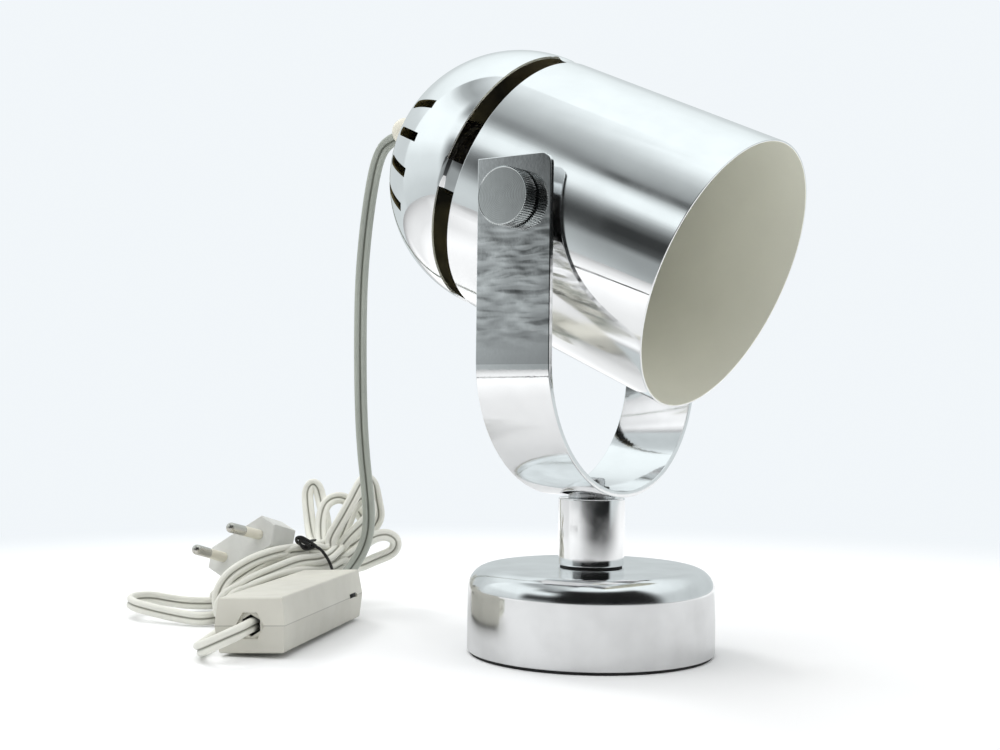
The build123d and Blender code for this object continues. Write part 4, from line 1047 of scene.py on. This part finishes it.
class SEARCHLIGHT_OT_dome(bpy.types.Operator):
    """Presses the vented rear dome with its joggled tabs"""

    bl_idname = "searchlight.dome"
    bl_label = "Dome"

    def execute(self, context):
        s = sizes()
        radius = s.head_diameter / 2
        wall = s.head_wall
        edge = -(s.shade_rear + s.vent_gap)
        centre = edge - DOME_COLLAR
        bm = bmesh.new()
        start = bm.verts.new((radius, 0, 0))
        arc = math.pi / 2 - math.asin(CORD_HOLE_RADIUS / radius)
        bmesh.ops.spin(bm, geom=[start], cent=(0, 0, 0), axis=(0, 1, 0), angle=arc, steps=40)
        bmesh.ops.translate(bm, verts=bm.verts, vec=(0, 0, centre))
        collar = bmesh.ops.extrude_vert_indiv(bm, verts=[start])["verts"]
        bmesh.ops.translate(bm, verts=collar, vec=(0, 0, DOME_COLLAR))
        turned = Matrix.Rotation(math.radians(TAB_TURN), 3, "Z")
        bmesh.ops.rotate(bm, verts=bm.verts, cent=(0, 0, 0), matrix=turned)
        bmesh.ops.spin(
            bm,
            geom=list(bm.verts) + list(bm.edges),
            cent=(0, 0, 0),
            axis=(0, 0, 1),
            angle=2 * math.pi,
            steps=180,
            use_merge=True,
        )
        bmesh.ops.remove_doubles(bm, verts=bm.verts, dist=0.000002)
        # Four tabs step in by a wall and bridge the vent gap
        tabs = []
        for rim_edge in ring_edges(bm, radius, edge):
            middle = (rim_edge.verts[0].co + rim_edge.verts[1].co) / 2
            angle = math.degrees(math.atan2(middle.y, middle.x)) % 90
            if angle < 9 or angle > 87:
                tabs.append(rim_edge)
        for step, inwards in TAB_STEPS:
            moved, tabs = extruded(bm, tabs)
            for vertex in moved:
                away = Vector((vertex.co.x, vertex.co.y, 0)).normalized()
                vertex.co += Vector((0, 0, step)) - away * inwards
        bmesh.ops.recalc_face_normals(bm, faces=bm.faces)
        middle = Vector((0, 0, centre))
        if sum(face.normal.dot(face.calc_center_median() - middle) for face in bm.faces) < 0:
            bmesh.ops.reverse_faces(bm, faces=bm.faces)
        bmesh.ops.solidify(bm, geom=list(bm.faces), thickness=wall)
        bmesh.ops.recalc_face_normals(bm, faces=bm.faces)
        for face in bm.faces:
            middle = face.calc_center_median()
            outwards = Vector((middle.x, middle.y, min(middle.z - centre, 0.0)))
            face.material_index = 1 if face.normal.dot(outwards) < -0.2 * outwards.length else 0
        dome = make_object("dome_body", bm, chrome("chrome_dome"))
        # Painted shade: the dome's inside gets the dark finish
        dome.data.materials.append(inside_with_painted_shade("dome_inside_painted_shade"))
        # Vent slots, square in front and round behind
        tools = bmesh.new()
        straight = SLOT_LENGTH - SLOT_WIDTH / 2
        for group in (0, 180):
            for number in range(SLOTS_IN_GROUP):
                angle = group + TAB_TURN + (number - (SLOTS_IN_GROUP - 1) / 2) * SLOT_PITCH
                slot = bmesh.new()
                block = bmesh.ops.create_cube(slot, size=1.0)["verts"]
                bmesh.ops.scale(slot, vec=(0.04, SLOT_WIDTH, straight), verts=block)
                bmesh.ops.translate(slot, vec=(0.035, 0, SLOT_FRONT - straight / 2), verts=block)
                # The rear end is rounded by a half turn
                rear = [vertex for vertex in block if vertex.co.z < SLOT_FRONT - straight + 0.0001]
                radial = [
                    e
                    for e in slot.edges
                    if all(v in rear for v in e.verts) and abs(e.verts[0].co.y - e.verts[1].co.y) < 1e-6
                ]
                for vertex in rear:
                    vertex.co.z -= SLOT_WIDTH / 2
                soften(slot, radial, 0.00158, 8)
                turned = Matrix.Rotation(math.radians(angle), 3, "Z")
                bmesh.ops.rotate(slot, verts=slot.verts, cent=(0, 0, 0), matrix=turned)
                part = bpy.data.meshes.new("slot")
                slot.to_mesh(part)
                slot.free()
                tools.from_mesh(part)
                bpy.data.meshes.remove(part)
        for face in tools.faces:
            face.material_index = 1
        cut(dome, tools)
        dome.data.transform(head_matrix())
        dome.data.set_sharp_from_angle(angle=math.radians(30))
        fit(dome, "head", ["rear_dome"])
        return {"FINISHED"}


# ---- Thumb screws --------------------------------------------------------------------------------
KNOB_THICKNESS = 0.0064
RIDGE_DEPTH = 0.0004
SHANK_RADIUS = 0.0025
# Rows of the knob's side: height, how much of the knurl it has, and how far it stands out
KNOB_ROWS = (
    (0.0, 1.0, -0.00085),
    (0.00085, 1.0, 0.0),
    (KNOB_THICKNESS - 0.0003, 1.0, 0.0),
    (KNOB_THICKNESS - 0.00012, 0.6, -0.00012),
    (KNOB_THICKNESS, 0.0, -0.00042),
)
THUMB_SCREWS = ((-1, "thumb_left", "thumb_screw_left"), (1, "thumb_right", "thumb_screw_right"))


class SEARCHLIGHT_OT_thumb_screws(bpy.types.Operator):
    """Turns the two knurled thumb screws with their faced ends and shanks"""

    bl_idname = "searchlight.thumb_screws"
    bl_label = "Thumb screws"

    def execute(self, context):
        s = sizes()
        radius = s.knob_diameter / 2
        for sign, body, name in THUMB_SCREWS:
            low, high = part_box(name)
            reach = max(abs(low[0]), abs(high[0]))
            tip = min(abs(low[0]), abs(high[0]))
            seat = reach - KNOB_THICKNESS
            bm = bmesh.new()
            count = s.knob_ridges * 4
            rows = [bmesh.ops.create_circle(bm, cap_ends=False, segments=count, radius=radius)["verts"]]
            loop = list(bm.edges)
            for _ in KNOB_ROWS[1:]:
                row, loop = extruded(bm, loop)
                rows.append(row)
            for row, (height, knurl, inset) in zip(rows, KNOB_ROWS):
                for vertex in row:
                    angle = math.atan2(vertex.co.y, vertex.co.x)
                    step = round(angle / (2 * math.pi) * s.knob_ridges * 4) % 4
                    out = radius + inset - (RIDGE_DEPTH * knurl if step in (0, 1) else 0.0)
                    vertex.co = Vector((math.cos(angle) * out, math.sin(angle) * out, height))
            back = [edge for edge in bm.edges if edge.is_boundary and edge.verts[0].co.z < 0.0001]
            bmesh.ops.holes_fill(bm, edges=back + loop, sides=0)
            face = max(bm.faces, key=lambda item: item.calc_center_median().z)
            face.material_index = 1
            for item in bmesh.ops.inset_region(bm, faces=[face], thickness=0.0001, depth=-0.00008)["faces"]:
                item.material_index = 1
            shank = Matrix.Translation((0, 0, (tip - seat + 0.0005) / 2))
            cylinder(bm, SHANK_RADIUS, seat - tip + 0.0005, shank, 40)
            # Painted shade: the knurl's grooves and the rear chamfer get a near-black metal
            for item in bm.faces:
                middle = item.calc_center_median()
                across = math.hypot(middle.x, middle.y)
                if radius * 0.9 < across < radius - RIDGE_DEPTH * 0.8 and middle.z < KNOB_THICKNESS - 0.0003:
                    item.material_index = 2
            bmesh.ops.recalc_face_normals(bm, faces=bm.faces)
            place = (sign * seat, 0, s.pivot_height)
            bmesh.ops.transform(bm, matrix=towards((sign, 0, 0), place, (0, 1, 0)), verts=bm.verts)
            label = name.replace("thumb_screw", "knob")
            grey = (0.60, 0.63, 0.63)
            knurled = plain_metal("knurled_" + label, grey, roughness=0.2, grain=200.0, depth=0.000004)
            knob = make_object(label, bm, knurled)
            knob.data.materials.append(turned_metal("turned_" + label, place, (0.93, 0.94, 0.935)))
            # Painted shade: near-black metal for the grooves and the rear chamfer
            knob.data.materials.append(plain_metal("groove_shade_" + label, (0.03, 0.035, 0.035), roughness=0.5))
            knob.data.set_sharp_from_angle(angle=math.radians(10))
            fit(knob, body, [name])
        return {"FINISHED"}


# ---- Tie -----------------------------------------------------------------------------------------
TIE_RADIUS = 0.00062
TIE_PATHS = (
    # Round the hank's waist
    [
        (5.1, 135.4, 25.9), (4.1, 135.0, 26.6), (4.3, 132.6, 26.9), (5.8, 130.7, 26.5), (7.3, 129.1, 25.4),
        (7.1, 126.5, 23.4), (8.4, 125.5, 20.8), (9.4, 125.0, 18.3), (11.7, 126.1, 15.7), (16.4, 128.1, 13.4),
        (22.1, 130.4, 14.7), (23.8, 133.1, 19.3), (22.6, 136.4, 23.6), (19.0, 139.8, 27.4),
        (11.7, 139.8, 27.5), (6.6, 136.7, 26.1), (3.9, 134.6, 26.3),
    ],
    # The twisted ends, bent into two flat loops
    [
        (3.8, 133.7, 26.1), (1.7, 135.0, 27.2), (0.5, 136.0, 28.6), (0.4, 135.7, 30.0), (1.4, 134.2, 30.4),
        (2.8, 132.6, 29.3), (4.4, 131.0, 27.8), (5.8, 130.1, 26.6),
    ],
    [
        (5.4, 130.3, 26.4), (3.8, 132.0, 25.5), (2.2, 133.6, 25.6), (1.3, 134.1, 27.1), (0.9, 134.8, 28.5),
        (1.5, 133.8, 29.3), (2.6, 132.6, 28.5), (3.1, 132.5, 27.1), (3.2, 133.6, 25.8),
    ],
    [
        (3.5, 133.4, 26.0), (3.5, 131.3, 26.4), (2.7, 131.7, 27.8), (1.7, 133.1, 28.1), (1.4, 134.2, 29.0),
        (1.4, 135.3, 29.6),
    ],
)


class SEARCHLIGHT_OT_tie(bpy.types.Operator):
    """Winds the black wire tie round the hank and twists its ends"""

    bl_idname = "searchlight.tie"
    bl_label = "Wire tie"

    def execute(self, context):
        bm = bmesh.new()
        for points in TIE_PATHS:
            line = smooth_route(points, resolution=6)
            ring = bmesh.ops.create_circle(bm, cap_ends=False, segments=12, radius=TIE_RADIUS)["verts"]
            sweep(bm, ring, route_matrices(line, UP))
        bmesh.ops.recalc_face_normals(bm, faces=bm.faces)
        tie = make_object("wire_tie", bm, moulded("tie_vinyl", (0.01, 0.01, 0.01), roughness=0.32))
        fit(tie, "yoke", ["twist_tie"])
        return {"FINISHED"}


# ---- Everything else keeps its solid and gets a finish -------------------------------------------
class SEARCHLIGHT_OT_fittings(bpy.types.Operator):
    """Gives the fittings that keep their solids a finish each"""

    bl_idname = "searchlight.fittings"
    bl_label = "Fittings"

    def execute(self, context):
        c = colours()
        zinc = plain_metal("zinc_plate", (0.62, 0.63, 0.64), roughness=0.3)
        finishes = {
            "base_pad": moulded("pad_rubber", (0.02, 0.02, 0.02), roughness=0.8),
            "base_weight": plain_metal("cast_iron", (0.2, 0.2, 0.21), roughness=0.6),
            "stem_gasket": moulded("gasket_rubber", (0.015, 0.015, 0.015), roughness=0.7),
            "swivel_bolt": zinc,
            "swivel_nut": zinc,
            "saddle_washer": zinc,
            "swivel_washer": moulded("washer_rubber", (0.012, 0.012, 0.012), roughness=0.6),
            "pivot_nuts": zinc,
            "nipple": zinc,
            "nipple_nut": zinc,
            "friction_washers": moulded("washer_fibre", (0.6, 0.58, 0.52), roughness=0.7),
            "cord_grip": moulded(
                "ivory_grip", (0.86, 0.83, 0.71), roughness=0.4, depth=0.000008, mottle=0.96
            ),
            "lampholder_cap": moulded("holder_bakelite", (0.03, 0.028, 0.025), roughness=0.25),
            "lampholder_shell": moulded("shell_bakelite", (0.03, 0.028, 0.025), roughness=0.25),
            "holder_insert": moulded("holder_ceramic", (0.85, 0.84, 0.8), roughness=0.3),
            "holder_contacts": plain_metal("contact_brass", (0.78, 0.62, 0.33), roughness=0.3),
            "bulb_cap": plain_metal("bulb_cap_metal", (0.75, 0.73, 0.68), roughness=0.28),
            "bulb_glass": moulded("pearl_glass", (0.93, 0.93, 0.91), roughness=0.35),
            "switch_back": switch_shell("switch_shell_upper", c.switch),
            # Painted shade: the lower shell's colour is the upper shell's, made 7% darker
            "switch_front": switch_shell("switch_shell_lower_painted_shade", shaded(c.switch, 0.93)),
            "rocker": moulded("rocker_plastic", (0.75, 0.74, 0.7), roughness=0.4),
            "rocker_pin": zinc,
            "contact_block": moulded("block_ceramic", (0.8, 0.79, 0.75), roughness=0.4),
            "cord_clamps": moulded("clamp_plastic", (0.02, 0.02, 0.02), roughness=0.6),
            "switch_screws": zinc,
            "plug_body": rough_cast("plug_plastic", c.plug),
            "plug_pins": plain_metal(
                "pin_metal", (0.62, 0.60, 0.55), roughness=0.3, grain=250.0, depth=0.000003
            ),
            "pin_sleeves": moulded("pin_cream", (0.8, 0.77, 0.66), roughness=0.4),
        }
        for name, finish in finishes.items():
            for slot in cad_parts[name].material_slots:
                slot.material = finish
        return {"FINISHED"}


OPERATORS = (
    SEARCHLIGHT_OT_camera,
    SEARCHLIGHT_OT_lamp_lead,
    SEARCHLIGHT_OT_mains_lead,
    SEARCHLIGHT_OT_foot,
    SEARCHLIGHT_OT_yoke,
    SEARCHLIGHT_OT_shade,
    SEARCHLIGHT_OT_dome,
    SEARCHLIGHT_OT_thumb_screws,
    SEARCHLIGHT_OT_tie,
    SEARCHLIGHT_OT_fittings,
    SEARCHLIGHT_OT_studio,
)


class SEARCHLIGHT_PT_panel(bpy.types.Panel):
    """Lists the lamp's pieces, sizes and colours"""

    bl_idname = "SEARCHLIGHT_PT_panel"
    bl_label = "Tabletop Searchlight"
    bl_space_type = "VIEW_3D"
    bl_region_type = "UI"
    bl_category = "Searchlight"

    def draw(self, context):
        layout = self.layout
        for operator in OPERATORS:
            layout.operator(operator.bl_idname)
        for group in (context.scene.searchlight_sizes, context.scene.searchlight_colours):
            box = layout.box()
            for name in group.bl_rna.properties.keys():
                if name not in ("rna_type", "name"):
                    box.prop(group, name)


CLASSES = (SearchlightSizes, SearchlightColours, *OPERATORS, SEARCHLIGHT_PT_panel)


def register():
    for cls in CLASSES:
        bpy.utils.register_class(cls)
    bpy.types.Scene.searchlight_sizes = PointerProperty(type=SearchlightSizes)
    bpy.types.Scene.searchlight_colours = PointerProperty(type=SearchlightColours)


def unregister():
    del bpy.types.Scene.searchlight_colours
    del bpy.types.Scene.searchlight_sizes
    for cls in reversed(CLASSES):
        bpy.utils.unregister_class(cls)


def main():
    register()
    for operator in OPERATORS:
        group, name = operator.bl_idname.split(".")
        result = getattr(getattr(bpy.ops, group), name)()
        if result != {"FINISHED"}:
            raise RuntimeError(f"{operator.bl_idname} did not finish")


if __name__ == "__main__":
    main()
